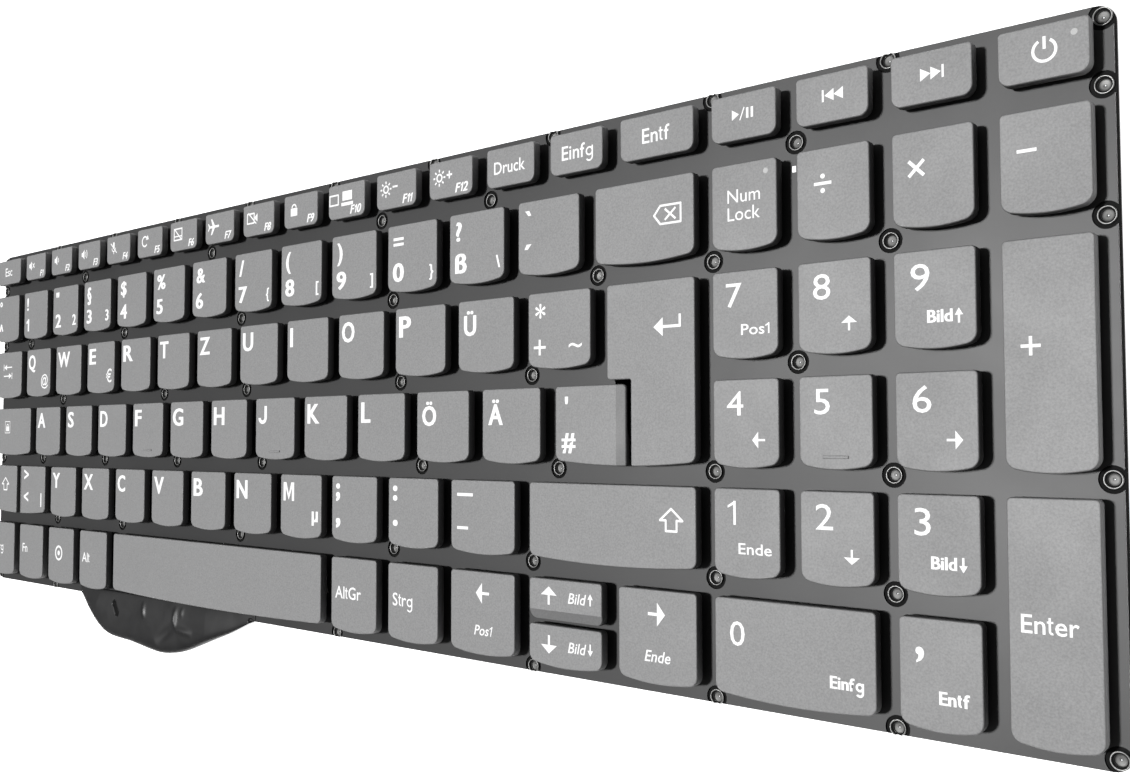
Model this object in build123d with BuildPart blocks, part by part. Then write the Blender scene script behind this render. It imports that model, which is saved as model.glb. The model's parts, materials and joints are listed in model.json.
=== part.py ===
"""Replacement keyboard of a laptop: sheet-metal base, film membrane with its tail, scissor-guided keys.

Millimetres, +X to the right, +Y towards the function row, +Z up through the key tops.
The origin is at the middle of the base plate's underside.
"""
import os
from dataclasses import dataclass, replace

from build123d import *

# Key field across: pitch and gaps of the main block and of the number pad
KEY_PITCH = 19.0
KEY_GAP = 3.8
NUMBER_STEPS = 13
BACKSPACE_W = 21.5
PAD_W = 12.35
PAD_GAP = 3.6
Q_STAGGER = 2.6
A_STAGGER = 9.4
Y_STAGGER = 19.65
ESC_W = 15.7
FN_GAP_X = 4.05
FN_STEPS = 14
ARROW_W = 17.4
HASH_W = 16.1
ANGLE_W = 17.3
SPLIT_GAP = 1.4

# Key field along: rows are laid from the front edge to the back
ROW_PITCH = 18.0
ROW_GAP = 3.3
CONTROL_D = 16.3
FN_D = 7.8
FN_ROW_GAP = 3.9
HALF_GAP = 0.8

# Cap form
SMILE_SAG = 0.85
FRONT_CORNER = 1.2
FN_CORNER = 0.8
CAP_WALL = 0.9
CAP_ROOF = 0.9
SKIRT_H = 1.7
EDGE_SLOPE_W = 1.9
EDGE_SLOPE_H = 0.5

# Height of the stack
PLATE_T = 0.5
MEMBRANE_T = 0.3
CAP_RISE = 3.3

# Base plate and membrane sheet
SIDE_MARGIN = 2.5
FRONT_MARGIN = 2.2
BACK_MARGIN = 2.1
PLATE_CORNER = 2.6
MEMBRANE_INSET = 0.5
HOLE_R = 0.9
HOLE_EDGE = 1.7
NOTCH_EDGE = 0.6
HOLE_RISE = 2.6
FILM_HOLE_R = 1.8
HOLE_SIDES = 6

# Scissor frames, domes and stabiliser wires under the caps
SCISSOR_W = 10.0
SCISSOR_L = 8.5
SCISSOR_BAR = 0.9
SCISSOR_T = 0.6
SCISSOR_CLEARANCE = 0.2
POCKET_CLEARANCE = 0.3
DOME_R = 2.2
DOME_TAPER = 20.0
DOME_SIDES = 6
WIRE_R = 0.35
WIRE_LEG = 7.0
WIRE_END = 6.0

# Tail of the membrane, folded back under itself in front of the plate
TAIL_LEFT = 52.0
TAIL_RIGHT = 138.5
FOLD_LEFT = 67.5
FOLD_LEFT_REACH = 10.2
FOLD_RIGHT = 99.0
FOLD_RIGHT_REACH = 12.2
FOLD_GAP = 0.2
TAIL_RETURN = 8.5
STIFFENER_L = 4.0
STIFFENER_T = 0.15
STIFFENER_INSET = 2.0

# Small light windows in two caps
LIGHT_R = 0.5
LIGHT_INSET = 2.0
LIGHT_CLEARANCE = 0.03

# Sizes that follow from the values above
CAP_W = KEY_PITCH - KEY_GAP
CAP_D = ROW_PITCH - ROW_GAP
PAD_PITCH = PAD_W + PAD_GAP
MAIN_W = NUMBER_STEPS * KEY_PITCH + BACKSPACE_W
FIELD_W = MAIN_W + 4 * PAD_PITCH
PLATE_W = FIELD_W + 2 * SIDE_MARGIN
PLATE_D = FRONT_MARGIN + CONTROL_D + 4 * ROW_PITCH + FN_ROW_GAP + FN_D + BACK_MARGIN
FRONT = -PLATE_D / 2
FN_W = (MAIN_W - 2 * ESC_W - (FN_STEPS + 1) * FN_GAP_X) / FN_STEPS
FN_PITCH = FN_W + FN_GAP_X
FILM_TOP = PLATE_T + MEMBRANE_T
CAP_TOP = FILM_TOP + CAP_RISE
SKIRT_BOTTOM = CAP_TOP - SKIRT_H
CEILING = CAP_TOP - CAP_ROOF
POCKET_H = SKIRT_H - CAP_ROOF
CONTROL_BACK = FRONT + FRONT_MARGIN + CONTROL_D
Y_BACK = CONTROL_BACK + ROW_PITCH
A_BACK = Y_BACK + ROW_PITCH
Q_BACK = A_BACK + ROW_PITCH
NUMBER_BACK = Q_BACK + ROW_PITCH
FN_FRONT = NUMBER_BACK + FN_ROW_GAP


def field_x(distance):
    """X of a place given by its distance from the left edge of the key field."""
    return distance - FIELD_W / 2


@dataclass(frozen=True)
class Key:
    """Plan of one cap: its four edges, the sag of its front edge and the cut of its front corners."""
    name: str
    left: float
    right: float
    back: float
    front: float
    sag: float = SMILE_SAG
    corner: float = FRONT_CORNER

    @property
    def pocket(self):
        """Centre x, centre y, width and depth of the hollow under the cap."""
        width = self.right - self.left - 2 * CAP_WALL
        depth = self.back - self.front - 2 * CAP_WALL - self.sag
        return (self.left + self.right) / 2, self.back - CAP_WALL - depth / 2, width, depth


def main_key(name, left, width, back, depth=CAP_D):
    """Key of the main block, placed by its distance from the left edge of the key field."""
    return Key(name, field_x(left), field_x(left + width), back, back - depth)


def fn_key(name, left, width):
    """Low key of the function row, with a straight front edge."""
    return Key(name, field_x(left), field_x(left + width), FN_FRONT + FN_D, FN_FRONT, 0.0, FN_CORNER)


def pad_left(column):
    """Distance of a number pad column from the left edge of the key field."""
    return MAIN_W + PAD_GAP + column * PAD_PITCH


def pad_key(name, column, back, depth=CAP_D, columns=1):
    """Key of the number pad, one or two columns wide."""
    return main_key(name, pad_left(column), columns * PAD_PITCH - PAD_GAP, back, depth)


def run_of_keys(name, start, count, back):
    """Row of like keys at the common pitch."""
    return [main_key(name, start + i * KEY_PITCH, CAP_W, back) for i in range(count)]


Q_START = KEY_PITCH + Q_STAGGER
A_START = KEY_PITCH + A_STAGGER
Y_START = KEY_PITCH + Y_STAGGER
FN_START = ESC_W + FN_GAP_X
ARROW_LEFT = Y_START + 9 * KEY_PITCH
SHIFT_RIGHT_LEFT = ARROW_LEFT + ARROW_W + KEY_GAP
HASH_LEFT = A_START + 11 * KEY_PITCH
LEG_LEFT = HASH_LEFT + HASH_W + SPLIT_GAP
ANGLE_RIGHT = Y_START - KEY_GAP
ANGLE_LEFT = ANGLE_RIGHT - ANGLE_W
SPACE_LEFT = 4 * KEY_PITCH
ALT_RIGHT_LEFT = ARROW_LEFT - 2 * KEY_PITCH
SPACE_W = ALT_RIGHT_LEFT - KEY_GAP - SPACE_LEFT
RIGHT_LEFT = SHIFT_RIGHT_LEFT + ARROW_W + KEY_GAP
TALL_D = ROW_PITCH + CAP_D
HALF_D = (CONTROL_D - HALF_GAP) / 2

# Like keys, each fused with the dome that carries it
LIKE_KEYS = {
    "function_keys": [fn_key("function", FN_START + i * FN_PITCH, FN_W) for i in range(12)],
    "number_keys": run_of_keys("number", KEY_PITCH, 12, NUMBER_BACK),
    "upper_letter_keys": run_of_keys("upper", Q_START, 12, Q_BACK),
    "home_letter_keys": run_of_keys("home", A_START, 11, A_BACK),
    "lower_letter_keys": run_of_keys("lower", Y_START, 9, Y_BACK),
}

# Keys that each travel by themselves, apart from those with a special plan below
PLAIN_KEYS = [
    fn_key("key_escape", 0, ESC_W),
    fn_key("key_print", FN_START + 12 * FN_PITCH, FN_W),
    fn_key("key_insert", FN_START + 13 * FN_PITCH, FN_W),
    fn_key("key_delete", MAIN_W - ESC_W, ESC_W),
    fn_key("key_play", pad_left(0), PAD_W),
    fn_key("key_previous", pad_left(1), PAD_W),
    fn_key("key_next", pad_left(2), PAD_W),
    fn_key("key_power", pad_left(3), PAD_W),
    main_key("key_caret", 0, CAP_W, NUMBER_BACK),
    main_key("key_backspace", NUMBER_STEPS * KEY_PITCH, BACKSPACE_W, NUMBER_BACK),
    pad_key("key_num_lock", 0, NUMBER_BACK),
    pad_key("key_pad_divide", 1, NUMBER_BACK),
    pad_key("key_pad_times", 2, NUMBER_BACK),
    pad_key("key_pad_minus", 3, NUMBER_BACK),
    main_key("key_tab", 0, Q_START - KEY_GAP, Q_BACK),
    pad_key("key_pad_7", 0, Q_BACK),
    pad_key("key_pad_8", 1, Q_BACK),
    pad_key("key_pad_9", 2, Q_BACK),
    pad_key("key_pad_plus", 3, Q_BACK, TALL_D),
    main_key("key_caps_lock", 0, A_START - KEY_GAP, A_BACK),
    pad_key("key_pad_4", 0, A_BACK),
    pad_key("key_pad_5", 1, A_BACK),
    pad_key("key_pad_6", 2, A_BACK),
    main_key("key_dash", ARROW_LEFT, ARROW_W, Y_BACK),
    main_key("key_shift_right", SHIFT_RIGHT_LEFT, MAIN_W - SHIFT_RIGHT_LEFT, Y_BACK),
    pad_key("key_pad_1", 0, Y_BACK),
    pad_key("key_pad_2", 1, Y_BACK),
    pad_key("key_pad_3", 2, Y_BACK),
    pad_key("key_pad_enter", 3, Y_BACK, ROW_PITCH + CONTROL_D),
    main_key("key_control_left", 0, CAP_W, CONTROL_BACK, CONTROL_D),
    main_key("key_fn", KEY_PITCH, CAP_W, CONTROL_BACK, CONTROL_D),
    main_key("key_system", 2 * KEY_PITCH, CAP_W, CONTROL_BACK, CONTROL_D),
    main_key("key_alt", 3 * KEY_PITCH, CAP_W, CONTROL_BACK, CONTROL_D),
    main_key("key_space", SPACE_LEFT, SPACE_W, CONTROL_BACK, CONTROL_D),
    main_key("key_alt_right", ALT_RIGHT_LEFT, CAP_W, CONTROL_BACK, CONTROL_D),
    main_key("key_control_right", ALT_RIGHT_LEFT + KEY_PITCH, CAP_W, CONTROL_BACK, CONTROL_D),
    main_key("key_left", ARROW_LEFT, ARROW_W, CONTROL_BACK, CONTROL_D),
    main_key("key_right", RIGHT_LEFT, MAIN_W - RIGHT_LEFT, CONTROL_BACK, CONTROL_D),
    pad_key("key_pad_0", 0, CONTROL_BACK, CONTROL_D, 2),
    pad_key("key_pad_comma", 2, CONTROL_BACK, CONTROL_D),
]

# Pairs cut from one outline, so that one front curve runs on across their gap
HASH_ENTER = main_key("hash_enter", HASH_LEFT, MAIN_W - HASH_LEFT, A_BACK)
SHIFT_ANGLE = main_key("shift_angle", 0, ANGLE_RIGHT, Y_BACK)
ARROW_PAIR = main_key("arrow_pair", SHIFT_RIGHT_LEFT, ARROW_W, CONTROL_BACK, CONTROL_D)
HASH = replace(HASH_ENTER, name="key_hash", right=field_x(LEG_LEFT - SPLIT_GAP))
ENTER_LEG = replace(HASH_ENTER, name="key_enter", left=field_x(LEG_LEFT), back=Q_BACK)
ENTER_HEAD_LEFT = field_x(Q_START + 12 * KEY_PITCH)
SHIFT_LEFT = replace(SHIFT_ANGLE, name="key_shift_left", right=field_x(ANGLE_LEFT - SPLIT_GAP))
ANGLE = replace(SHIFT_ANGLE, name="key_angle", left=field_x(ANGLE_LEFT))
UP = replace(ARROW_PAIR, name="key_up", front=CONTROL_BACK - HALF_D, sag=0.0)
DOWN = replace(ARROW_PAIR, name="key_down", back=CONTROL_BACK - HALF_D - HALF_GAP)
SPLIT_KEYS = [HASH, ENTER_LEG, SHIFT_LEFT, ANGLE, UP, DOWN]
TRAVEL_KEYS = PLAIN_KEYS + SPLIT_KEYS


def draw_box(left, right, front, back, mode=Mode.ADD):
    """Upright rectangle in the active sketch, given by its edges."""
    with Locations(((left + right) / 2, (front + back) / 2)):
        Rectangle(right - left, back - front, mode=mode)


def cap_plan(key):
    """Plan of a cap: straight back and sides, bowed front edge, front corners cut back."""
    cut = key.corner
    front_y = key.front + key.sag
    with BuildSketch() as plan:
        with BuildLine():
            Polyline(
                (key.left + cut, front_y), (key.left, front_y + cut), (key.left, key.back),
                (key.right, key.back), (key.right, front_y + cut), (key.right - cut, front_y),
            )
            if key.sag:
                middle = ((key.left + key.right) / 2, key.front)
                ThreePointArc((key.right - cut, front_y), middle, (key.left + cut, front_y))
            else:
                Line((key.right - cut, front_y), (key.left + cut, front_y))
        make_face()
    return plan.sketch


def draw_pocket(key):
    """Hollow under a cap, in the active sketch."""
    x, y, width, depth = key.pocket
    with Locations((x, y)):
        Rectangle(width, depth)


def write_part(builder, name):
    """Label a finished piece and write it."""
    builder.part.label = name
    export_step(builder.part, f"parts/{name}.step")


def edge_slope(edge, top):
    """Sloping strip along one edge of a cap's top face."""
    chamfer(edge, EDGE_SLOPE_W, EDGE_SLOPE_H, reference=top)


def frame_size(key):
    """Width and length of the outer scissor frame that fits under a cap."""
    _, _, width, depth = key.pocket
    fit = 2 * POCKET_CLEARANCE
    return min(SCISSOR_W, width - fit), min(SCISSOR_L, depth - fit)


def inner_frame_size(key):
    """Width and length of the inner scissor frame, which stands between the arms of the outer one."""
    width, length = frame_size(key)
    return width - 2 * SCISSOR_BAR - 2 * SCISSOR_CLEARANCE, length


def scissor_frame(key, width, length, rising):
    """U-shaped frame that climbs from the film to the cap, its open end at the top."""
    x, y, _, _ = key.pocket
    low_y = y - length / 2 * rising
    high_y = y + length / 2 * rising
    bar_end = low_y + SCISSOR_BAR * rising
    opening = width - 2 * SCISSOR_BAR
    with BuildPart() as frame:
        with BuildSketch(Plane.YZ.offset(x - width / 2)):
            with BuildLine():
                Polyline(
                    (low_y, FILM_TOP), (high_y, CEILING - SCISSOR_T),
                    (high_y, CEILING), (low_y, FILM_TOP + SCISSOR_T), close=True,
                )
            make_face()
        extrude(amount=width)
        with BuildSketch(Plane.XY.offset(FILM_TOP)):
            draw_box(x - opening / 2, x + opening / 2, min(bar_end, high_y), max(bar_end, high_y))
        extrude(amount=CEILING - FILM_TOP, mode=Mode.SUBTRACT)
    return frame.part


def draw_polygon(x, y, radius, sides):
    """Regular polygon in the active sketch."""
    with Locations((x, y)):
        RegularPolygon(radius, sides)


def dome_radius(key):
    """Foot radius of the dome that fits between the cross bars of the scissor frames."""
    _, length = frame_size(key)
    return min(DOME_R, length / 2 - SCISSOR_BAR - SCISSOR_CLEARANCE)


def draw_dome_foot(key):
    """Foot of the dome under a cap, in the active sketch."""
    x, y, _, _ = key.pocket
    draw_polygon(x, y, dome_radius(key), DOME_SIDES)


def gap_between(start, pitch, gap, index):
    """Middle of the gap in front of the key with this index in a row."""
    return start + index * pitch - gap / 2


# Fixing holes lie in the gaps between keys, row by row
PAD_EDGE = MAIN_W + PAD_GAP / 2
PAD_FIRST = pad_left(1) - PAD_GAP / 2
PAD_SECOND = pad_left(2) - PAD_GAP / 2
FN_HOLES = [gap_between(FN_START, FN_PITCH, FN_GAP_X, i) for i in (2, 6, 10, 12)] + [PAD_FIRST]
NUMBER_HOLES = [gap_between(0, KEY_PITCH, KEY_GAP, i) for i in (1, 4, 7, 10, 13)] + [PAD_EDGE, PAD_SECOND]
Q_HOLES = [gap_between(Q_START, KEY_PITCH, KEY_GAP, i) for i in (1, 4, 6, 9, 11)] + [PAD_FIRST]
A_HOLES = [gap_between(A_START, KEY_PITCH, KEY_GAP, i) for i in (0, 2, 4, 6, 9, 11)] + [PAD_EDGE, PAD_SECOND]
Y_HOLES = [gap_between(Y_START, KEY_PITCH, KEY_GAP, i) for i in (0, 2, 5, 8)]
Y_HOLES += [SHIFT_RIGHT_LEFT - KEY_GAP / 2, PAD_EDGE, PAD_SECOND]
FRONT_NOTCHES = [2 * KEY_PITCH - KEY_GAP / 2, ALT_RIGHT_LEFT - KEY_GAP / 2, SHIFT_RIGHT_LEFT - KEY_GAP / 2]
FRONT_NOTCHES += [PAD_EDGE, PAD_SECOND]
BACK_NOTCHES = [gap_between(FN_START, FN_PITCH, FN_GAP_X, i) for i in (1, 3, 5, 7, 9, 11, 13)]
BACK_NOTCHES += [PAD_EDGE, PAD_SECOND]
HOLE_ROWS = [
    (NUMBER_BACK, FN_HOLES), (Q_BACK, NUMBER_HOLES), (A_BACK, Q_HOLES), (Y_BACK, A_HOLES), (CONTROL_BACK, Y_HOLES),
]
SIDE_X = PLATE_W / 2 - HOLE_EDGE
SIDE_ROWS = [FRONT + HOLE_EDGE, Y_BACK + HOLE_RISE, Q_BACK + HOLE_RISE, NUMBER_BACK + HOLE_RISE, -FRONT - HOLE_EDGE]
FIELD_HOLES = [(field_x(x), back + HOLE_RISE) for back, row in HOLE_ROWS for x in row]
SIDE_HOLES = [(side * SIDE_X, y) for side in (-1, 1) for y in SIDE_ROWS]
NOTCHES = [(field_x(x), FRONT + NOTCH_EDGE) for x in FRONT_NOTCHES]
NOTCHES += [(field_x(x), -FRONT - NOTCH_EDGE) for x in BACK_NOTCHES]

os.makedirs("parts", exist_ok=True)

# Base plate: one stamped sheet with round fixing holes along its sides, six-sided ones between the keys
# and open notches along its front and back edges
with BuildPart() as base_plate:
    with BuildSketch():
        RectangleRounded(PLATE_W, PLATE_D, PLATE_CORNER)
        with Locations(*SIDE_HOLES):
            Circle(HOLE_R, mode=Mode.SUBTRACT)
        with Locations(*FIELD_HOLES, *NOTCHES):
            RegularPolygon(HOLE_R, HOLE_SIDES, major_radius=False, mode=Mode.SUBTRACT)
    extrude(amount=PLATE_T)
write_part(base_plate, "base_plate")

# Membrane: bonded film sheet with a clearance opening round each fixing hole, and its folded tail
FILM_W = PLATE_W - 2 * MEMBRANE_INSET
FILM_D = PLATE_D - 2 * MEMBRANE_INSET
TAIL_ROOT = FRONT + MEMBRANE_INSET
FOLD_FROM = Vector(field_x(FOLD_LEFT), FRONT - FOLD_LEFT_REACH)
FOLD_TO = Vector(field_x(FOLD_RIGHT), FRONT - FOLD_RIGHT_REACH)
FOLD_R = MEMBRANE_T + FOLD_GAP / 2
FOLD_LINE = FOLD_FROM - FOLD_TO
FOLD_PLANE = Plane(FOLD_TO, x_dir=Vector(0, 0, 1).cross(FOLD_LINE), z_dir=FOLD_LINE)

with BuildPart() as membrane:
    with BuildSketch(Plane.XY.offset(PLATE_T)):
        RectangleRounded(FILM_W, FILM_D, PLATE_CORNER - MEMBRANE_INSET)
        with Locations(*FIELD_HOLES, *SIDE_HOLES, *NOTCHES):
            RegularPolygon(FILM_HOLE_R, HOLE_SIDES, major_radius=False, mode=Mode.SUBTRACT)
        with BuildLine():
            Polyline(
                (field_x(TAIL_LEFT), TAIL_ROOT), (FOLD_FROM.X, FOLD_FROM.Y), (FOLD_TO.X, FOLD_TO.Y),
                (field_x(TAIL_RIGHT), TAIL_ROOT), close=True,
            )
        make_face()
    extrude(amount=MEMBRANE_T)
    with BuildSketch(FOLD_PLANE) as fold:
        with Locations((0, FILM_TOP - FOLD_R)):
            Circle(FOLD_R)
            Circle(FOLD_GAP / 2, mode=Mode.SUBTRACT)
        draw_box(-FOLD_R, 0, FILM_TOP - 2 * FOLD_R, FILM_TOP, Mode.SUBTRACT)
        low = FILM_TOP - 2 * FOLD_R
        draw_box(-TAIL_RETURN, 0, low, low + MEMBRANE_T)
    extrude(amount=FOLD_LINE.length)
write_part(membrane, "membrane")

# Stiffener strip on the tail's contact end
with BuildPart() as tail_stiffener:
    with BuildSketch(FOLD_PLANE.offset(STIFFENER_INSET)):
        strip_low = FILM_TOP - 2 * FOLD_R + MEMBRANE_T
        draw_box(-TAIL_RETURN, STIFFENER_L - TAIL_RETURN, strip_low, strip_low + STIFFENER_T)
    extrude(amount=FOLD_LINE.length - 2 * STIFFENER_INSET)
write_part(tail_stiffener, "tail_stiffener")

# Rubber domes under the keys that travel
with BuildPart() as rubber_domes:
    with BuildSketch(Plane.XY.offset(FILM_TOP)):
        for key in TRAVEL_KEYS:
            draw_dome_foot(key)
    extrude(amount=CEILING - FILM_TOP, taper=DOME_TAPER)
write_part(rubber_domes, "rubber_domes")

# Scissor frames: the inner one stands between the arms of the outer one and leans the other way
with BuildPart() as scissor_outer_frames:
    add([scissor_frame(key, *frame_size(key), 1) for key in TRAVEL_KEYS])
write_part(scissor_outer_frames, "scissor_outer_frames")

with BuildPart() as scissor_inner_frames:
    add([scissor_frame(key, *inner_frame_size(key), -1) for key in TRAVEL_KEYS])
write_part(scissor_inner_frames, "scissor_inner_frames")

# Stabiliser wires of the two widest keys
WIDE_KEYS = [key for key in TRAVEL_KEYS if key.name in ("key_space", "key_shift_right")]
with BuildPart() as stabiliser_wires:
    for key in WIDE_KEYS:
        x, y, width, depth = key.pocket
        bar_y = y + depth / 2 - POCKET_CLEARANCE - WIRE_R
        end_y = bar_y - WIRE_LEG
        reach = width / 2 - POCKET_CLEARANCE - WIRE_R
        bar_z = CEILING - WIRE_R
        foot_z = FILM_TOP + WIRE_R
        with BuildLine():
            wire = Polyline(
                (x - reach + WIRE_END, end_y, foot_z), (x - reach, end_y, foot_z), (x - reach, bar_y, bar_z),
                (x + reach, bar_y, bar_z), (x + reach, end_y, foot_z), (x + reach - WIRE_END, end_y, foot_z),
            )
        with BuildSketch(Plane(wire @ 0, z_dir=wire % 0)):
            RegularPolygon(WIRE_R, HOLE_SIDES)
        sweep(path=wire, transition=Transition.RIGHT)
write_part(stabiliser_wires, "stabiliser_wires")

# Like keys, row by row: cap and dome in one solid
for row_name, row in LIKE_KEYS.items():
    with BuildPart() as like_keys:
        with BuildSketch(Plane.XY.offset(SKIRT_BOTTOM)):
            for key in row:
                add(cap_plan(key))
        extrude(amount=SKIRT_H)
        with BuildSketch(Plane.XY.offset(FILM_TOP)):
            for key in row:
                draw_dome_foot(key)
        extrude(amount=SKIRT_BOTTOM - FILM_TOP)
    write_part(like_keys, row_name)

# Keys that travel, each a hollow cap
LIGHT_KEYS = {"key_num_lock": "num_lock_light", "key_power": "power_light"}


def light_place(key):
    """Centre of the light window, near the back right corner of its cap."""
    return key.right - LIGHT_INSET, key.back - LIGHT_INSET


for key in PLAIN_KEYS:
    with BuildPart() as cap:
        with BuildSketch(Plane.XY.offset(SKIRT_BOTTOM)):
            add(cap_plan(key))
        extrude(amount=SKIRT_H)
        with BuildSketch(Plane.XY.offset(SKIRT_BOTTOM)):
            draw_pocket(key)
        extrude(amount=POCKET_H, mode=Mode.SUBTRACT)
        if key.name in LIGHT_KEYS:
            with BuildSketch(Plane.XY.offset(CEILING)):
                with Locations(light_place(key)):
                    RegularPolygon(LIGHT_R + LIGHT_CLEARANCE, HOLE_SIDES)
            extrude(amount=CAP_ROOF, mode=Mode.SUBTRACT)
    write_part(cap, key.name)

for key in PLAIN_KEYS:
    if key.name in LIGHT_KEYS:
        with BuildPart() as light_window:
            with BuildSketch(Plane.XY.offset(CEILING)):
                with Locations(light_place(key)):
                    RegularPolygon(LIGHT_R, HOLE_SIDES)
            extrude(amount=CAP_ROOF)
        write_part(light_window, LIGHT_KEYS[key.name])

# Keys cut from a shared outline
for whole, key in ((HASH_ENTER, HASH), (SHIFT_ANGLE, SHIFT_LEFT), (SHIFT_ANGLE, ANGLE), (ARROW_PAIR, DOWN)):
    with BuildPart() as cap:
        with BuildSketch(Plane.XY.offset(SKIRT_BOTTOM)):
            add(cap_plan(whole))
            draw_box(key.left, key.right, key.front, key.back, Mode.INTERSECT)
        extrude(amount=SKIRT_H)
        with BuildSketch(Plane.XY.offset(SKIRT_BOTTOM)):
            draw_pocket(key)
        extrude(amount=POCKET_H, mode=Mode.SUBTRACT)
        top = cap.faces().sort_by(Axis.Z)[-1]
        side_edges = top.edges().filter_by(Axis.Y).sort_by(Axis.X)
        if key is HASH:
            edge_slope(side_edges[-1], top)
        if key is ANGLE:
            edge_slope(side_edges[0], top)
    write_part(cap, key.name)

with BuildPart() as key_up:
    with BuildSketch(Plane.XY.offset(SKIRT_BOTTOM)):
        draw_box(UP.left, UP.right, UP.front, UP.back)
    extrude(amount=SKIRT_H)
    with BuildSketch(Plane.XY.offset(SKIRT_BOTTOM)):
        draw_pocket(UP)
    extrude(amount=POCKET_H, mode=Mode.SUBTRACT)
    up_top = key_up.faces().sort_by(Axis.Z)[-1]
    edge_slope(up_top.edges().sort_by(Axis.Y)[0], up_top)
write_part(key_up, UP.name)

# Return key: a wide head in one row and a leg in the row in front of it
with BuildPart() as key_enter:
    with BuildSketch(Plane.XY.offset(SKIRT_BOTTOM)):
        add(cap_plan(HASH_ENTER))
        draw_box(ENTER_LEG.left, ENTER_LEG.right, ENTER_LEG.front, A_BACK, Mode.INTERSECT)
        draw_box(ENTER_LEG.left, ENTER_LEG.right, A_BACK - CAP_WALL, Q_BACK)
        draw_box(ENTER_HEAD_LEFT, ENTER_LEG.right, A_BACK + HALF_GAP, Q_BACK)
    extrude(amount=SKIRT_H)
    with BuildSketch(Plane.XY.offset(SKIRT_BOTTOM)):
        draw_pocket(ENTER_LEG)
    extrude(amount=POCKET_H, mode=Mode.SUBTRACT)
write_part(key_enter, ENTER_LEG.name)
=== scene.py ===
"""Looks of a laptop replacement keyboard.

Moulded caps with printed legends, the film sheet and its folded tail, the stamped plate with its fixing
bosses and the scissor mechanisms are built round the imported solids. Sizes are in millimetres, with +X to
the right along the rows, +Y towards the function row and +Z up. Each piece is scaled to metres when it
becomes an object.
"""

import json
import logging
import math
from dataclasses import dataclass, field, replace
from enum import Enum
from typing import Callable, Iterator, Sequence

import bmesh
import bpy
from bmesh.types import BMEdge, BMesh, BMFace, BMVert
from bpy.types import ID, Material, Mesh, Node, NodeSocket, NodeTree, Object
from mathutils import Matrix, Vector


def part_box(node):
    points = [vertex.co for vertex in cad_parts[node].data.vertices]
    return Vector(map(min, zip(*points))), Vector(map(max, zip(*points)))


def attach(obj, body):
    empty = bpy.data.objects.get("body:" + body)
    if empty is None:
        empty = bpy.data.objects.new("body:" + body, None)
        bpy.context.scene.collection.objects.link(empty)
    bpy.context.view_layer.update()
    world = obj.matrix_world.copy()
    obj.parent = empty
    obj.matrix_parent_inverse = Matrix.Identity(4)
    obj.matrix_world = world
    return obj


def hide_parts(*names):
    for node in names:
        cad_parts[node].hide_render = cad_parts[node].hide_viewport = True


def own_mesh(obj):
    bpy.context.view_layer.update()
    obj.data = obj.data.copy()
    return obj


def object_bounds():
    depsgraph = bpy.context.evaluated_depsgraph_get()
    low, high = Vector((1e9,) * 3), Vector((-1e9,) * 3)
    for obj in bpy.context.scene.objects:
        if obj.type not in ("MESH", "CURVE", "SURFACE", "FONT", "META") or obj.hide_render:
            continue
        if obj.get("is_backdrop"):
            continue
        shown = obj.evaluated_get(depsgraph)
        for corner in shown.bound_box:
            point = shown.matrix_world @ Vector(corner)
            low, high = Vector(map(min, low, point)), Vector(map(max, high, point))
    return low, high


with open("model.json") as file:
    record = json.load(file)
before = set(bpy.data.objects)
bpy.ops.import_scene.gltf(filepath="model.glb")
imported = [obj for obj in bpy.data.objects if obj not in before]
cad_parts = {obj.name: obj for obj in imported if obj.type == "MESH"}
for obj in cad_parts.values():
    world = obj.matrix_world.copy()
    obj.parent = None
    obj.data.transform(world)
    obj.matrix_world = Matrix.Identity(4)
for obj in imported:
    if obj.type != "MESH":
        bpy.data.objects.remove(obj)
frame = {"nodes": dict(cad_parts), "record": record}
CAD_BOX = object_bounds()
LOG = logging.getLogger("keyboard")

MM = 0.001
MERGE = 1e-7
BASE = "base"
Point = tuple[float, float]
Triple = tuple[float, float, float]


def cad_box(node: str) -> tuple[Vector, Vector]:
    """Lowest and highest corner of a CAD node in millimetres."""
    low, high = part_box(node)
    return low / MM, high / MM


PLATE_LOW, PLATE_HIGH = cad_box("base_plate")
FILM_TOP = cad_box("rubber_domes")[0].z
CEILING = cad_box("rubber_domes")[1].z
SKIRT_BOTTOM = cad_box("key_escape")[0].z
CAP_TOP = cad_box("key_escape")[1].z


# Shader groups and finishes


class Graph:
    """Node tree under construction, with short calls for adding and joining nodes."""

    def __init__(self, tree: NodeTree) -> None:
        """Take hold of an empty tree."""
        self.tree = tree

    def add(self, kind: str, **inputs: object) -> Node:
        """Add a node and set or link its inputs.

        Args:
            kind: Blender's type name of the node.
            inputs: values or output sockets, by input name with underscores for spaces.

        Returns:
            The new node.
        """
        node = self.tree.nodes.new(kind)
        self.feed(node, **inputs)
        return node

    def place(self, group: NodeTree, **inputs: object) -> Node:
        """Add a shared group and set or link its inputs."""
        node = self.tree.nodes.new("ShaderNodeGroup")
        node.node_tree = group
        self.feed(node, **inputs)
        return node

    def reckon(self, operation: str, *values: object) -> NodeSocket:
        """Add a math node with its inputs in order, and give its output."""
        node = self.tree.nodes.new("ShaderNodeMath")
        node.operation = operation
        for socket, value in zip(node.inputs, values):
            self._set(socket, value)
        return node.outputs[0]

    def feed(self, node: Node, **inputs: object) -> None:
        """Set or link inputs of a node, by name with underscores for spaces."""
        for name, value in inputs.items():
            self._set(node.inputs[name.replace("_", " ")], value)

    def _set(self, socket: NodeSocket, value: object) -> None:
        """Give an input its value, or join it to an output."""
        if isinstance(value, NodeSocket):
            self.tree.links.new(value, socket)
        else:
            socket.default_value = value


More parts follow.
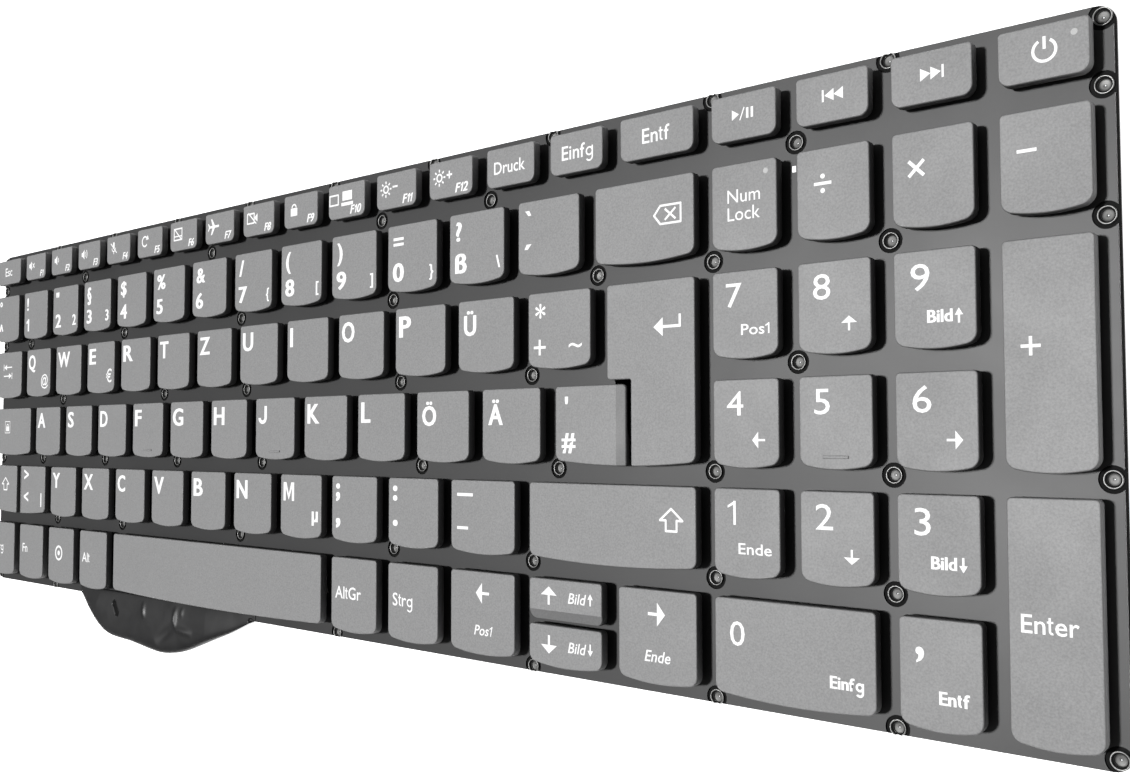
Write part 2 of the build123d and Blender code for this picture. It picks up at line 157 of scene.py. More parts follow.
def new_group(name: str, inputs: dict[str, str], outputs: dict[str, str]) -> tuple[Graph, Node, Node]:
    """Start a shader node group.

    Args:
        name: name of the group.
        inputs: socket type of each input, by name.
        outputs: socket type of each output, by name.

    Returns:
        The graph, its input node and its output node.
    """
    tree = bpy.data.node_groups.new(name, "ShaderNodeTree")
    for socket, kind in inputs.items():
        tree.interface.new_socket(name=socket, in_out="INPUT", socket_type=kind)
    for socket, kind in outputs.items():
        tree.interface.new_socket(name=socket, in_out="OUTPUT", socket_type=kind)
    graph = Graph(tree)
    return graph, graph.add("NodeGroupInput"), graph.add("NodeGroupOutput")


class SharedGroups:
    """Shader groups that several finishes place with values of their own."""

    NOISE_MIDDLE = 0.5

    def __init__(self) -> None:
        """Build each group once."""
        self.grain = self._grain()
        self.smudges = self._smudges()

    def _grain(self) -> NodeTree:
        """Fine grain: a colour that varies a little, and a height for the bump."""
        graph, given, made = new_group(
            "fine_grain",
            {"Color": "NodeSocketColor", "Scale": "NodeSocketFloat", "Tint": "NodeSocketFloat"},
            {"Color": "NodeSocketColor", "Height": "NodeSocketFloat"},
        )
        place = graph.add("ShaderNodeTexCoord").outputs["Object"]
        texture = graph.add(
            "ShaderNodeTexNoise", Vector=place, Scale=given.outputs["Scale"], Detail=3.0, Roughness=0.6
        )
        noise = texture.outputs[0]
        centred = graph.reckon("SUBTRACT", noise, self.NOISE_MIDDLE)
        share = graph.reckon("MULTIPLY_ADD", centred, given.outputs["Tint"], 1.0)
        tinted = graph.add("ShaderNodeVectorMath")
        tinted.operation = "SCALE"
        graph.feed(tinted, Vector=given.outputs["Color"], Scale=share)
        graph.feed(made, Color=tinted.outputs[0], Height=noise)
        return graph.tree

    def _smudges(self) -> NodeTree:
        """Soft patches of a surface that was handled: a roughness between two values."""
        graph, given, made = new_group(
            "soft_smudges",
            {"Scale": "NodeSocketFloat", "Low": "NodeSocketFloat", "High": "NodeSocketFloat"},
            {"Roughness": "NodeSocketFloat"},
        )
        place = graph.add("ShaderNodeTexCoord").outputs["Object"]
        noise = graph.add(
            "ShaderNodeTexNoise", Vector=place, Scale=given.outputs["Scale"], Detail=4.0, Roughness=0.55,
            Distortion=0.4,
        )
        spread = graph.add(
            "ShaderNodeMapRange", Value=noise.outputs[0], From_Min=0.3, From_Max=0.7,
            To_Min=given.outputs["Low"], To_Max=given.outputs["High"],
        )
        graph.feed(made, Roughness=spread.outputs[0])
        return graph.tree


GROUPS = SharedGroups()


@dataclass(frozen=True)
class Finish:
    """One surface finish, with grain and smudges from the shared groups.

    Scales are in cycles per metre.
    """

    name: str
    colour: Triple
    roughness: tuple[float, float]
    grain_scale: float
    grain_tint: float = 0.1
    grain_bump: float = 0.1
    grain_depth: float = 0.02
    smudge_scale: float = 60.0
    metallic: float = 0.0
    specular: float = 0.5
    glow: float = 0.0

    def material(self) -> Material:
        """Material of this finish, built on first use."""
        return bpy.data.materials.get(self.name) or self._build()

    def _build(self) -> Material:
        """Build the node tree of the material."""
        made = bpy.data.materials.new(self.name)
        made.use_nodes = True
        made.node_tree.nodes.clear()
        graph = Graph(made.node_tree)
        colour = (*self.colour, 1.0)
        low, high = self.roughness
        grain = graph.place(GROUPS.grain, Color=colour, Scale=self.grain_scale, Tint=self.grain_tint)
        smudges = graph.place(GROUPS.smudges, Scale=self.smudge_scale, Low=low, High=high)
        bump = graph.add(
            "ShaderNodeBump", Strength=self.grain_bump, Distance=self.grain_depth * MM,
            Height=grain.outputs["Height"],
        )
        shader = graph.add(
            "ShaderNodeBsdfPrincipled", Base_Color=grain.outputs["Color"], Metallic=self.metallic,
            Roughness=smudges.outputs["Roughness"], Specular_IOR_Level=self.specular,
            Normal=bump.outputs["Normal"],
        )
        if self.glow:
            graph.feed(shader, Emission_Color=colour, Emission_Strength=self.glow)
        graph.add("ShaderNodeOutputMaterial", Surface=shader.outputs["BSDF"])
        return made


CAP_FACE = Finish("cap_face_grey", (0.27, 0.27, 0.272), (0.5, 0.62), 3000.0, 0.75, 0.35, 0.03)
# Cap walls: the face grey darkened, as painted shade on the sides that face away from the lamp.
CAP_WALL_PAINTED_SHADE = Finish("cap_wall_painted_shade", (0.16, 0.16, 0.161), (0.5, 0.66), 2600.0, 0.4, 0.12, specular=0.2)
# Sloping strips: the face grey darkened, as painted shade on a facet that tilts away from the light.
CAP_STRIP_PAINTED_SHADE = Finish("cap_strip_painted_shade", (0.18, 0.18, 0.181), (0.5, 0.62), 3000.0, 0.6, 0.3, 0.03)
# White print with a faint glow of its own: painted light, as the print is no lamp.
LEGEND_WHITE_PAINTED_GLOW = Finish("legend_white_painted_glow", (0.93, 0.93, 0.93), (0.5, 0.6), 2500.0, 0.06, 0.05, glow=0.12)
# Pale window with a glow of its own: painted light against the shade between the caps.
WINDOW_WHITE_PAINTED_GLOW = Finish("window_white_painted_glow", (0.95, 0.95, 0.95), (0.4, 0.5), 2500.0, 0.06, 0.05, glow=0.6)
FILM_DARK = Finish(
    "film_dark_satin", (0.018, 0.018, 0.0185), (0.45, 0.51), 1500.0, 0.25, 0.05, 0.02, 25.0, specular=0.58
)
# Pale grey on the film's cut edge: a painted highlight where the edge catches the light.
FILM_EDGE_PAINTED_HIGHLIGHT = Finish("film_cut_edge_painted_highlight", (0.5, 0.5, 0.5), (0.4, 0.5), 1500.0, 0.3, 0.1)
TAIL_DARK = Finish("tail_dark_film", (0.012, 0.012, 0.0125), (0.38, 0.54), 900.0, 0.3, 0.08, 0.02, 90.0)
# Near-black inside the tail's slot and end hole: painted shade of the holes.
SLOT_PAINTED_SHADE = Finish("slot_painted_shade", (0.006, 0.006, 0.006), (0.6, 0.7), 1500.0, 0.2, 0.05, specular=0.1)
PLATE_BLACK = Finish(
    "plate_black_paint", (0.01, 0.01, 0.01), (0.55, 0.7), 2400.0, 0.4, 0.15, 0.03, 40.0, specular=0.05
)
BOSS_STEEL = Finish(
    "boss_bare_steel", (0.27, 0.27, 0.266), (0.4, 0.52), 2800.0, 0.25, 0.12, 0.02, metallic=1.0
)
# Darker steel inside the bowls: painted shade in the recess of the same bare steel.
BOSS_BOWL_PAINTED_SHADE = Finish(
    "boss_bowl_painted_shade", (0.12, 0.12, 0.118), (0.48, 0.6), 2800.0, 0.25, 0.12, 0.02, metallic=1.0
)
WIRE_STEEL = Finish("wire_drawn_steel", (0.55, 0.55, 0.54), (0.25, 0.4), 2200.0, 0.2, 0.1, metallic=1.0)
SCISSOR_BLACK = Finish("scissor_black_plastic", (0.02, 0.02, 0.02), (0.4, 0.55), 2600.0, 0.3, 0.1)
DOME_RUBBER = Finish("dome_rubber", (0.2, 0.2, 0.2), (0.55, 0.7), 1800.0, 0.2, 0.1)
STIFFENER_BLUE = Finish("stiffener_blue_film", (0.05, 0.13, 0.4), (0.2, 0.35), 1600.0, 0.15, 0.05)
LIGHT_CLEAR = Finish("light_window_clear", (0.56, 0.56, 0.56), (0.15, 0.25), 1500.0, 0.1, 0.05)
FLOOR_PALE = Finish(
    "floor_pale", (0.95, 0.95, 0.95), (0.8, 0.9), 300.0, 0.01, 0.0, smudge_scale=5.0, glow=0.9
)


# Mesh helpers


def add_object(name: str, data: ID) -> Object:
    """New object in the scene."""
    made = bpy.data.objects.new(name, data)
    bpy.context.scene.collection.objects.link(made)
    return made


def mesh_of(shape: BMesh, name: str) -> Mesh:
    """Mesh of a finished shape, which is freed."""
    mesh = bpy.data.meshes.new(name)
    shape.to_mesh(mesh)
    shape.free()
    return mesh


def make_piece(
    shape: BMesh, name: str, finishes: Sequence[Finish], body: str, unit: float = MM
) -> Object:
    """Turn a finished shape into an object that rides on a CAD body.

    Args:
        shape: the shape, which is freed.
        name: name of the piece.
        finishes: finish of each material index.
        body: CAD body that the piece rides on.
        unit: length of one unit of the shape in metres.

    Returns:
        The object, at the origin with its place in its mesh.
    """
    bmesh.ops.scale(shape, vec=(unit,) * 3, verts=shape.verts)
    return place_mesh(mesh_of(shape, name), name, finishes, body)


def place_mesh(mesh: Mesh, name: str, finishes: Sequence[Finish], body: str) -> Object:
    """Give a mesh its materials and an object that rides on a CAD body."""
    for finish in finishes:
        mesh.materials.append(finish.material())
    piece = add_object(name, mesh)
    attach(piece, body)
    return piece


def islands(mesh: Mesh) -> Iterator[BMesh]:
    """Separate solids of a CAD mesh, each as a merged copy in metres."""
    whole = bmesh.new()
    whole.from_mesh(mesh)
    bmesh.ops.remove_doubles(whole, verts=whole.verts, dist=MERGE)
    for first in whole.faces:
        if first.tag:
            continue
        first.tag = True
        group = [first]
        for face in group:
            for near in (n for edge in face.edges for n in edge.link_faces if not n.tag):
                near.tag = True
                group.append(near)
        solid = bmesh.new()
        copies = {}
        for face in group:
            for vert in face.verts:
                if vert not in copies:
                    copies[vert] = solid.verts.new(vert.co)
            solid.faces.new([copies[vert] for vert in face.verts])
        yield solid
    whole.free()


def shape_box(shape: BMesh) -> tuple[Vector, Vector]:
    """Lowest and highest corner of a shape."""
    places = [vert.co for vert in shape.verts]
    low = Vector(min(p[i] for p in places) for i in range(3))
    high = Vector(max(p[i] for p in places) for i in range(3))
    return low, high


def join_shapes(target: BMesh, part: BMesh) -> None:
    """Add a shape to another one and free it."""
    mesh = mesh_of(part, "part")
    target.from_mesh(mesh)
    bpy.data.meshes.remove(mesh)


def everything(shape: BMesh) -> list[BMVert | BMEdge | BMFace]:
    """All vertices, edges and faces of a shape."""
    return shape.verts[:] + shape.edges[:] + shape.faces[:]


def only_verts(items: Sequence[object]) -> list[BMVert]:
    """Vertices among what an operator gives back."""
    return [item for item in items if isinstance(item, BMVert)]


def soften(shape: BMesh, edges: Sequence[BMEdge], offset: float, segments: int) -> None:
    """Round edges of a shape.

    Args:
        shape: the shape.
        edges: the edges to round.
        offset: reach of the rounding on both sides of an edge.
        segments: straight pieces per rounding.
    """
    bmesh.ops.bevel(
        shape, geom=edges, offset=offset, offset_type="OFFSET", segments=segments, profile=0.5,
        affect="EDGES", material=-1,
    )


def round_corners(shape: BMesh, radii: Sequence[tuple[Point, float]], segments: int) -> None:
    """Round corners of a flat outline.

    Args:
        shape: the flat shape.
        radii: place of each corner and its setback along both edges.
        segments: straight pieces per corner.
    """
    for (x, y), setback in radii:
        corner = min(shape.verts, key=lambda vert: (vert.co.x - x) ** 2 + (vert.co.y - y) ** 2)
        bmesh.ops.bevel(
            shape, geom=[corner], offset=setback, offset_type="OFFSET", segments=segments, profile=0.5,
            affect="VERTICES", material=-1,
        )


def raise_outline(shape: BMesh, height: float) -> None:
    """Turn the one flat face of a shape into a closed block that stands on it."""
    face = shape.faces[:]
    raised = bmesh.ops.extrude_face_region(shape, geom=face, use_keep_orig=True)
    bmesh.ops.translate(shape, vec=(0, 0, height), verts=only_verts(raised["geom"]))
    bmesh.ops.recalc_face_normals(shape, faces=shape.faces)


def rim_edges(shape: BMesh) -> list[BMEdge]:
    """Edges between the upward faces of a block and its walls."""
    upward = 0.7
    found = []
    for edge in shape.edges:
        rises = [face.normal.z for face in edge.link_faces]
        if len(rises) == 2 and (rises[0] > upward) != (rises[1] > upward) and min(rises) > -upward:
            found.append(edge)
    return found


def smooth_bevels(shape: BMesh, largest: int = 4) -> None:
    """Smooth the small bevel and wall faces, and leave faces with more corners flat."""
    for face in shape.faces:
        face.smooth = len(face.verts) <= largest


# Caps


@dataclass(frozen=True)
class CapStyle:
    """Rounding of a cap in plan, in millimetres."""

    sag: float
    back_corner: float
    front_corner: float


class CapForm(Enum):
    """Kinds of cap plan on the keyboard."""

    BOWED = CapStyle(0.85, 0.75, 1.4)
    LOW = CapStyle(0.0, 0.65, 1.6)


@dataclass(frozen=True)
class SlopeStrip:
    """Sloping strip along one edge of a cap's face."""

    direction: Point
    width: float = 1.9
    depth: float = 0.5


@dataclass(frozen=True)
class Cap:
    """Place and plan of one cap.

    The front curve spans from bow_left to bow_right, which lie outside the cap where two caps share one
    curve. A cap with a head is wider at the back, from head_left on and down to head_front.
    """

    name: str
    body: str
    left: float
    right: float
    back: float
    front: float
    form: CapForm = CapForm.BOWED
    bow_left: float | None = None
    bow_right: float | None = None
    cut_left: bool = False
    cut_right: bool = False
    strip: SlopeStrip | None = None
    head_left: float | None = None
    head_front: float | None = None
    bump_bar: bool = False

    CUT_CORNER = 0.35
    CURVE_MARGIN = 1.1
    CURVE_STEP = 1.5
    LEAST_STEPS = 4

    @property
    def centre(self) -> float:
        """X of the cap's middle."""
        return (self.left + self.right) / 2

    @property
    def back_left(self) -> float:
        """X of the cap's left end at the back."""
        return self.left if self.head_left is None else self.head_left

    def front_y(self, x: float) -> float:
        """Y of the front edge at a given x."""
        start = self.left if self.bow_left is None else self.bow_left
        end = self.right if self.bow_right is None else self.bow_right
        share = (2 * x - start - end) / (end - start)
        return self.front + self.form.value.sag * share * share

    def outline(self) -> list[Point]:
        """Corners and front curve of the cap in plan, with sharp corners."""
        style = self.form.value
        points = [(self.right, self.back), (self.back_left, self.back)]
        if self.head_left is not None:
            points += [(self.head_left, self.head_front), (self.left, self.head_front)]
        points.append((self.left, self.front_y(self.left)))
        if style.sag:
            margin = style.front_corner * self.CURVE_MARGIN
            start, end = self.left + margin, self.right - margin
            steps = max(self.LEAST_STEPS, round((self.right - self.left) / self.CURVE_STEP))
            curve = [start + (end - start) * i / steps for i in range(steps + 1)]
            points += [(x, self.front_y(x)) for x in curve]
        points.append((self.right, self.front_y(self.right)))
        return points

    def corners(self) -> list[tuple[Point, float]]:
        """Corners to round and their setbacks."""
        style = self.form.value
        cut = self.CUT_CORNER
        found = [
            ((self.right, self.back), style.back_corner),
            ((self.back_left, self.back), style.back_corner),
            ((self.left, self.front_y(self.left)), cut if self.cut_left else style.front_corner),
            ((self.right, self.front_y(self.right)), cut if self.cut_right else style.front_corner),
        ]
        if self.head_left is not None:
            found.append(((self.head_left, self.head_front), style.back_corner))
            found.append(((self.left, self.head_front), cut))
        return found


@dataclass
class CapShaper:
    """Shapes one cap after another: a hollow shell with a rounded rim.

    Faces are told apart by how far their normals rise: walls by less than wall_rise, strips by an amount
    between those of strip_rise, and the underside by less than floor_rise.
    """

    rim: float = 0.24
    rim_segments: int = 3
    corner_segments: int = 6
    wall: float = 0.9
    pocket: float = 0.8
    wall_rise: float = 0.8
    strip_rise: Point = (0.9, 0.99)
    floor_rise: float = -0.9
    slack: float = 1e-4
    bar_length: float = 4.4
    bar_width: float = 0.5
    bar_height: float = 0.22
    bar_setback: float = 2.0
    bar_edge: float = 0.14
    bar_segments: int = 2

    def shell(self, cap: Cap) -> BMesh:
        """Shape of one cap.

        Args:
            cap: the cap's place and plan.

        Returns:
            The shape, with the face finish at index 0, the walls' painted shade at 1 and the sloping strip's
            painted shade at 2.
        """
        shape = bmesh.new()
        shape.faces.new([shape.verts.new((x, y, SKIRT_BOTTOM)) for x, y in cap.outline()])
        round_corners(shape, cap.corners(), self.corner_segments)
        raise_outline(shape, CAP_TOP - SKIRT_BOTTOM)
        if cap.strip:
            self._slope(shape, cap.strip)
        soften(shape, rim_edges(shape), self.rim, self.rim_segments)
        self._hollow(shape)
        shape.normal_update()
        # Walls take the darker material: painted shade.
        for face in shape.faces:
            if face.normal.z < self.wall_rise:
                face.material_index = 1
        smooth_bevels(shape)
        if cap.bump_bar:
            join_shapes(shape, self._bar(cap))
        return shape

    def _slope(self, shape: BMesh, strip: SlopeStrip) -> None:
        """Press the strip along one edge down into a slope."""
        way = Vector((*strip.direction, 0.0))
        edge = max(vert.co.dot(way) for vert in shape.verts)
        line = edge - strip.width
        bmesh.ops.bisect_plane(shape, geom=everything(shape), plane_co=way * line, plane_no=way)
        for vert in shape.verts:
            past = vert.co.dot(way) - line
            if vert.co.z > CAP_TOP - self.slack and past > 0:
                vert.co.z -= strip.depth * past / strip.width
        bmesh.ops.recalc_face_normals(shape, faces=shape.faces)
        shape.normal_update()
        # Strip faces take the darker material: painted shade.
        low, high = self.strip_rise
        for face in shape.faces:
            face.material_index = 2 if low < face.normal.z < high else 0

    def _hollow(self, shape: BMesh) -> None:
        """Sink the pocket into the underside."""
        floor = [face for face in shape.faces if face.normal.z < self.floor_rise]
        bmesh.ops.inset_region(shape, faces=floor, thickness=self.wall, use_even_offset=True)
        sunk = bmesh.ops.extrude_face_region(shape, geom=floor)
        bmesh.ops.translate(shape, vec=(0, 0, self.pocket), verts=only_verts(sunk["geom"]))
        bmesh.ops.delete(shape, geom=[face for face in floor if face.is_valid], context="FACES_ONLY")
        bmesh.ops.recalc_face_normals(shape, faces=shape.faces)

    def _bar(self, cap: Cap) -> BMesh:
        """Small raised bar that a finger feels for."""
        bar = bmesh.new()
        bmesh.ops.create_cube(bar, size=1.0)
        bmesh.ops.scale(bar, vec=(self.bar_length, self.bar_width, self.bar_height * 2), verts=bar.verts)
        soften(bar, bar.edges[:], self.bar_edge, self.bar_segments)
        bmesh.ops.translate(bar, vec=(cap.centre, cap.front + self.bar_setback, CAP_TOP), verts=bar.verts)
        return bar


@dataclass
class KeyField:
    """All caps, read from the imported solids, and the pieces that stand for them."""

    rows: dict[str, list[Cap]] = field(default_factory=dict)
    keys: dict[str, Cap] = field(default_factory=dict)
    low_depth: float = 8.5
    home_bars: tuple[int, int] = (3, 6)
    post_radius: float = 2.0
    post_taper: float = 0.6
    post_segments: int = 16

    ROW_NODES = ("function_keys", "number_keys", "upper_letter_keys", "home_letter_keys", "lower_letter_keys")

    def read(self) -> None:
        """Read the places of all caps from the frame."""
        for node in self.ROW_NODES:
            boxes = []
            for solid in islands(frame["nodes"][node].data):
                boxes.append(shape_box(solid))
                solid.free()
            boxes.sort(key=lambda box: box[0].x)
            self.rows[node] = [
                self._cap(f"{node}_{i}", BASE, low / MM, high / MM) for i, (low, high) in enumerate(boxes)
            ]
        home = self.rows["home_letter_keys"]
        for index in self.home_bars:
            home[index] = replace(home[index], bump_bar=True)
        for body, members in frame["record"]["behaviour"]["bodies"].items():
            for node in members:
                if node.startswith("key_"):
                    self.keys[node] = self._cap(node, body, *cad_box(node))
        self._special_plans()

    def _cap(self, name: str, body: str, low: Vector, high: Vector) -> Cap:
        """Cap that fills a box in plan."""
        form = CapForm.LOW if high.y - low.y < self.low_depth else CapForm.BOWED
        return Cap(name, body, low.x, high.x, high.y, low.y, form)

    def _special_plans(self) -> None:
        """Give the caps that share a front curve, have a strip or an odd plan their own form."""
        keys = self.keys
        hash_cap, enter = keys["key_hash"], keys["key_enter"]
        leg_left = hash_cap.right + (keys["key_angle"].left - keys["key_shift_left"].right)
        keys["key_hash"] = replace(
            hash_cap, bow_left=hash_cap.left, bow_right=enter.right, cut_right=True, strip=SlopeStrip((1, 0))
        )
        gap = keys["key_up"].front - keys["key_down"].back
        keys["key_enter"] = replace(
            enter, left=leg_left, bow_left=hash_cap.left, bow_right=enter.right, cut_left=True,
            head_left=enter.left, head_front=hash_cap.back + gap, front=hash_cap.front,
        )
        shift, angle = keys["key_shift_left"], keys["key_angle"]
        low = min(shift.front, angle.front)
        keys["key_shift_left"] = replace(
            shift, front=low, bow_left=shift.left, bow_right=angle.right, cut_right=True
        )
        keys["key_angle"] = replace(
            angle, front=low, bow_left=shift.left, bow_right=angle.right, cut_left=True,
            strip=SlopeStrip((-1, 0)),
        )
        keys["key_up"] = replace(keys["key_up"], strip=SlopeStrip((0, -1)))
        keys["key_down"] = replace(keys["key_down"], form=CapForm.BOWED)
        keys["key_pad_5"] = replace(keys["key_pad_5"], bump_bar=True)

    def build(self, shaper: CapShaper) -> None:
        """Build the pieces that stand for the solids of the caps."""
        for node, caps in self.rows.items():
            row = bmesh.new()
            for cap in caps:
                join_shapes(row, shaper.shell(cap))
                join_shapes(row, self._post(cap))
            piece = make_piece(row, f"caps_{node}", (CAP_FACE, CAP_WALL_PAINTED_SHADE, DOME_RUBBER), BASE)
            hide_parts(node)
            LOG.info("%s: %d caps", piece.name, len(caps))
        for node, cap in self.keys.items():
            finishes = (CAP_FACE, CAP_WALL_PAINTED_SHADE, CAP_STRIP_PAINTED_SHADE) if cap.strip else (CAP_FACE, CAP_WALL_PAINTED_SHADE)
            piece = make_piece(shaper.shell(cap), node.replace("key_", "cap_"), finishes, cap.body)
            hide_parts(node)
        LOG.info("caps that travel: %d", len(self.keys))

    def _post(self, cap: Cap) -> BMesh:
        """Dome under a cap that is fixed in its row."""
        post = bmesh.new()
        height = SKIRT_BOTTOM + CapShaper.pocket - FILM_TOP
        middle = (cap.front + cap.back) / 2
        bmesh.ops.create_cone(
            post, cap_ends=True, segments=self.post_segments, radius1=self.post_radius,
            radius2=self.post_radius * self.post_taper, depth=height,
            matrix=Matrix.Translation((cap.centre, middle, FILM_TOP + height / 2)),
        )
        for face in post.faces:
            face.material_index = 2
        return post


# Legends


class Sign(Enum):
    """Signs that are drawn instead of typed."""

    LEFT = "left"
    RIGHT = "right"
    UP = "up"
    DOWN = "down"
    PAGE_UP = "page_up"
    PAGE_DOWN = "page_down"
    RETURN = "return"
    BACKSPACE = "backspace"
    SHIFT = "shift"
    CAPS = "caps"
    TAB = "tab"
    PLAY_PAUSE = "play_pause"
    PREVIOUS = "previous"
    NEXT = "next"
    POWER = "power"
    SUN_PLUS = "sun_plus"
    SUN_MINUS = "sun_minus"
    LOCK = "lock"
    SCREENS = "screens"
    PLANE = "plane"
    CAMERA_OFF = "camera_off"
    PAD_OFF = "pad_off"
    TURN = "turn"
    MICROPHONE_OFF = "microphone_off"
    SILENT = "silent"
    QUIETER = "quieter"
    LOUDER = "louder"
    DIVIDE = "divide"
    TIMES = "times"
    MINUS = "minus"
    PLUS = "plus"
    LONG_DASH = "long_dash"
    DASH = "dash"
    RING = "ring"


class Pen:
    """Draws signs as flat shapes, about one unit high and centred at the origin.

    Each stroke lies a hair above the one before, so that no two faces share a plane where strokes cross.
    """

    LAYER = 0.003
    DOT_SEGMENTS = 12
    ARC_STEP = 15.0
    LEAST_STEPS = 6

    def __init__(self) -> None:
        """Start with nothing drawn."""
        self.shape = bmesh.new()
        self.level = 0.0

    def _next_level(self) -> float:
        """Height of the next stroke."""
        self.level += self.LAYER
        return self.level

    def bar(self, start: Point, end: Point, width: float = 0.12) -> None:
        """Straight stroke between two points."""
        a, b = Vector(start), Vector(end)
        run = b - a
        turn = Matrix.Rotation(math.atan2(run.y, run.x), 4, "Z")
        middle = Matrix.Translation(((a.x + b.x) / 2, (a.y + b.y) / 2, self._next_level()))
        place = middle @ turn @ Matrix.Diagonal((run.length, width, 1, 1))
        bmesh.ops.create_grid(self.shape, x_segments=1, y_segments=1, size=0.5, matrix=place)

    def path(self, points: Sequence[Point], width: float = 0.1, closed: bool = False) -> None:
        """Strokes from point to point."""
        ends = list(points[1:]) + ([points[0]] if closed else [])
        for start, end in zip(points, ends):
            self.bar(start, end, width)
            self.dot(end, width / 2)

    def box(self, left: float, right: float, half: float, width: float = 0.1) -> None:
        """Outlined box, as high above the middle as below it."""
        self.path([(left, half), (right, half), (right, -half), (left, -half)], width, closed=True)

    def cross(self, left: float, right: float, half: float, width: float) -> None:
        """Two strokes that cross, the first one from the height half at the left."""
        self.bar((left, half), (right, -half), width)
        self.bar((left, -half), (right, half), width)

    def fill(self, points: Sequence[Point]) -> None:
        """Filled outline."""
        level = self._next_level()
        self.shape.faces.new([self.shape.verts.new((x, y, level)) for x, y in points])

    def dot(self, centre: Point, radius: float) -> None:
        """Filled disc."""
        place = Matrix.Translation((*centre, self._next_level()))
        bmesh.ops.create_circle(
            self.shape, cap_ends=True, segments=self.DOT_SEGMENTS, radius=radius, matrix=place
        )

    def arc(self, centre: Point, radius: float, start: float, sweep: float, width: float = 0.1) -> None:
        """Part of a ring, with its start and sweep in degrees."""
        way = Vector((math.cos(math.radians(start)), math.sin(math.radians(start)), 0))
        middle = Vector((*centre, self._next_level()))
        ends = [self.shape.verts.new(middle + way * (radius + side * width / 2)) for side in (-1, 1)]
        edge = self.shape.edges.new(ends)
        bmesh.ops.spin(
            self.shape, geom=[*ends, edge], cent=middle, axis=(0, 0, 1), angle=math.radians(sweep),
            steps=max(self.LEAST_STEPS, round(abs(sweep) / self.ARC_STEP)), use_merge=abs(sweep) >= 360,
        )

    def arrow(self, angle: float, size: float = 1.0, wing: float = 0.57) -> None:
        """Arrow with a solid head that points at the given angle in degrees."""
        turn = Matrix.Rotation(math.radians(angle), 2)
        tip, wing_a, wing_b = (turn @ Vector(p) * size for p in ((0.5, 0), (0.03, wing), (0.03, -wing)))
        self.fill([tuple(tip), tuple(wing_a), tuple(wing_b)])
        self.bar(tuple(turn @ Vector((-0.5, 0)) * size), tuple(turn @ Vector((0.05, 0)) * size), 0.15 * size)

    def speaker(self) -> None:
        """Loudspeaker in the left half."""
        self.fill([(-0.5, -0.16), (-0.32, -0.16), (-0.05, -0.4), (-0.05, 0.4), (-0.32, 0.16), (-0.5, 0.16)])

    def sun(self) -> None:
        """Ring with eight rays in the left part."""
        self.arc((-0.2, 0), 0.2, 0, 360, 0.1)
        for i in range(8):
            way = Vector((math.cos(math.pi * i / 4), math.sin(math.pi * i / 4)))
            self.bar(tuple(Vector((-0.2, 0)) + way * 0.32), tuple(Vector((-0.2, 0)) + way * 0.48), 0.1)

    def slash(self) -> None:
        """Stroke across the whole sign."""
        self.bar((-0.45, 0.4), (0.45, -0.4), 0.09)


def draw_shift(pen: Pen) -> None:
    """Outlined arrow upwards."""
    right = [(0.58, -0.02), (0.28, -0.02), (0.28, -0.48)]
    pen.path([(0, 0.48), *right, *((-x, y) for x, y in reversed(right))], closed=True)


def draw_caps(pen: Pen) -> None:
    """Padlock in a box, for the locked shift."""
    draw_lock(pen)
    pen.box(-0.55, 0.55, 0.6, 0.07)


def draw_backspace(pen: Pen) -> None:
    """Outlined tag that points left, with a cross in it."""
    pen.path([(-0.8, 0), (-0.42, 0.46), (0.8, 0.46), (0.8, -0.46), (-0.42, -0.46)], 0.11, closed=True)
    pen.cross(-0.14, 0.5, 0.28, 0.11)


def draw_return(pen: Pen) -> None:
    """Arrow that comes down and turns to the left."""
    pen.fill([(-0.9, -0.12), (-0.3, 0.38), (-0.3, -0.62)])
    pen.bar((-0.4, -0.12), (0.85, -0.12), 0.15)
    pen.bar((0.78, -0.05), (0.78, 0.5), 0.14)


def draw_tab(pen: Pen) -> None:
    """Two arrows against bars, to the left and to the right."""
    for side, level in ((-1, 0.3), (1, -0.3)):
        pen.bar((side * 0.62, level - 0.22), (side * 0.62, level + 0.22), 0.08)
        pen.fill([(side * 0.56, level), (side * 0.16, level + 0.2), (side * 0.16, level - 0.2)])
        pen.bar((side * 0.2, level), (-side * 0.62, level), 0.08)


def draw_play_pause(pen: Pen) -> None:
    """Play triangle, stroke and pause bars."""
    pen.fill([(-1.0, 0.42), (-0.35, 0), (-1.0, -0.42)])
    pen.bar((-0.28, -0.5), (0.12, 0.5), 0.1)
    pen.bar((0.4, -0.42), (0.4, 0.42), 0.22)
    pen.bar((0.82, -0.42), (0.82, 0.42), 0.22)


def draw_skip(pen: Pen, side: int) -> None:
    """Two triangles and a bar, to one side."""
    for start in (-0.85, -0.1):
        pen.fill([(side * start, 0.46), (side * (start + 0.75), 0), (side * start, -0.46)])
    pen.bar((side * 0.78, -0.46), (side * 0.78, 0.46), 0.16)


def draw_power(pen: Pen) -> None:
    """Open ring with a stroke in its gap."""
    pen.arc((0, 0), 0.44, 120, 300, 0.12)
    pen.bar((0, 0.05), (0, 0.56), 0.12)


def draw_lock(pen: Pen) -> None:
    """Padlock."""
    pen.fill([(-0.34, -0.42), (0.34, -0.42), (0.34, 0.08), (-0.34, 0.08)])
    pen.arc((0, 0.1), 0.21, 0, 180, 0.1)


def draw_screens(pen: Pen) -> None:
    """Small screen beside a screen with a base."""
    pen.box(-1.1, -0.3, 0.3)
    pen.fill([(0.1, 0.45), (1.0, 0.45), (1.0, -0.12), (0.1, -0.12)])
    pen.bar((0.0, -0.34), (1.1, -0.34), 0.2)


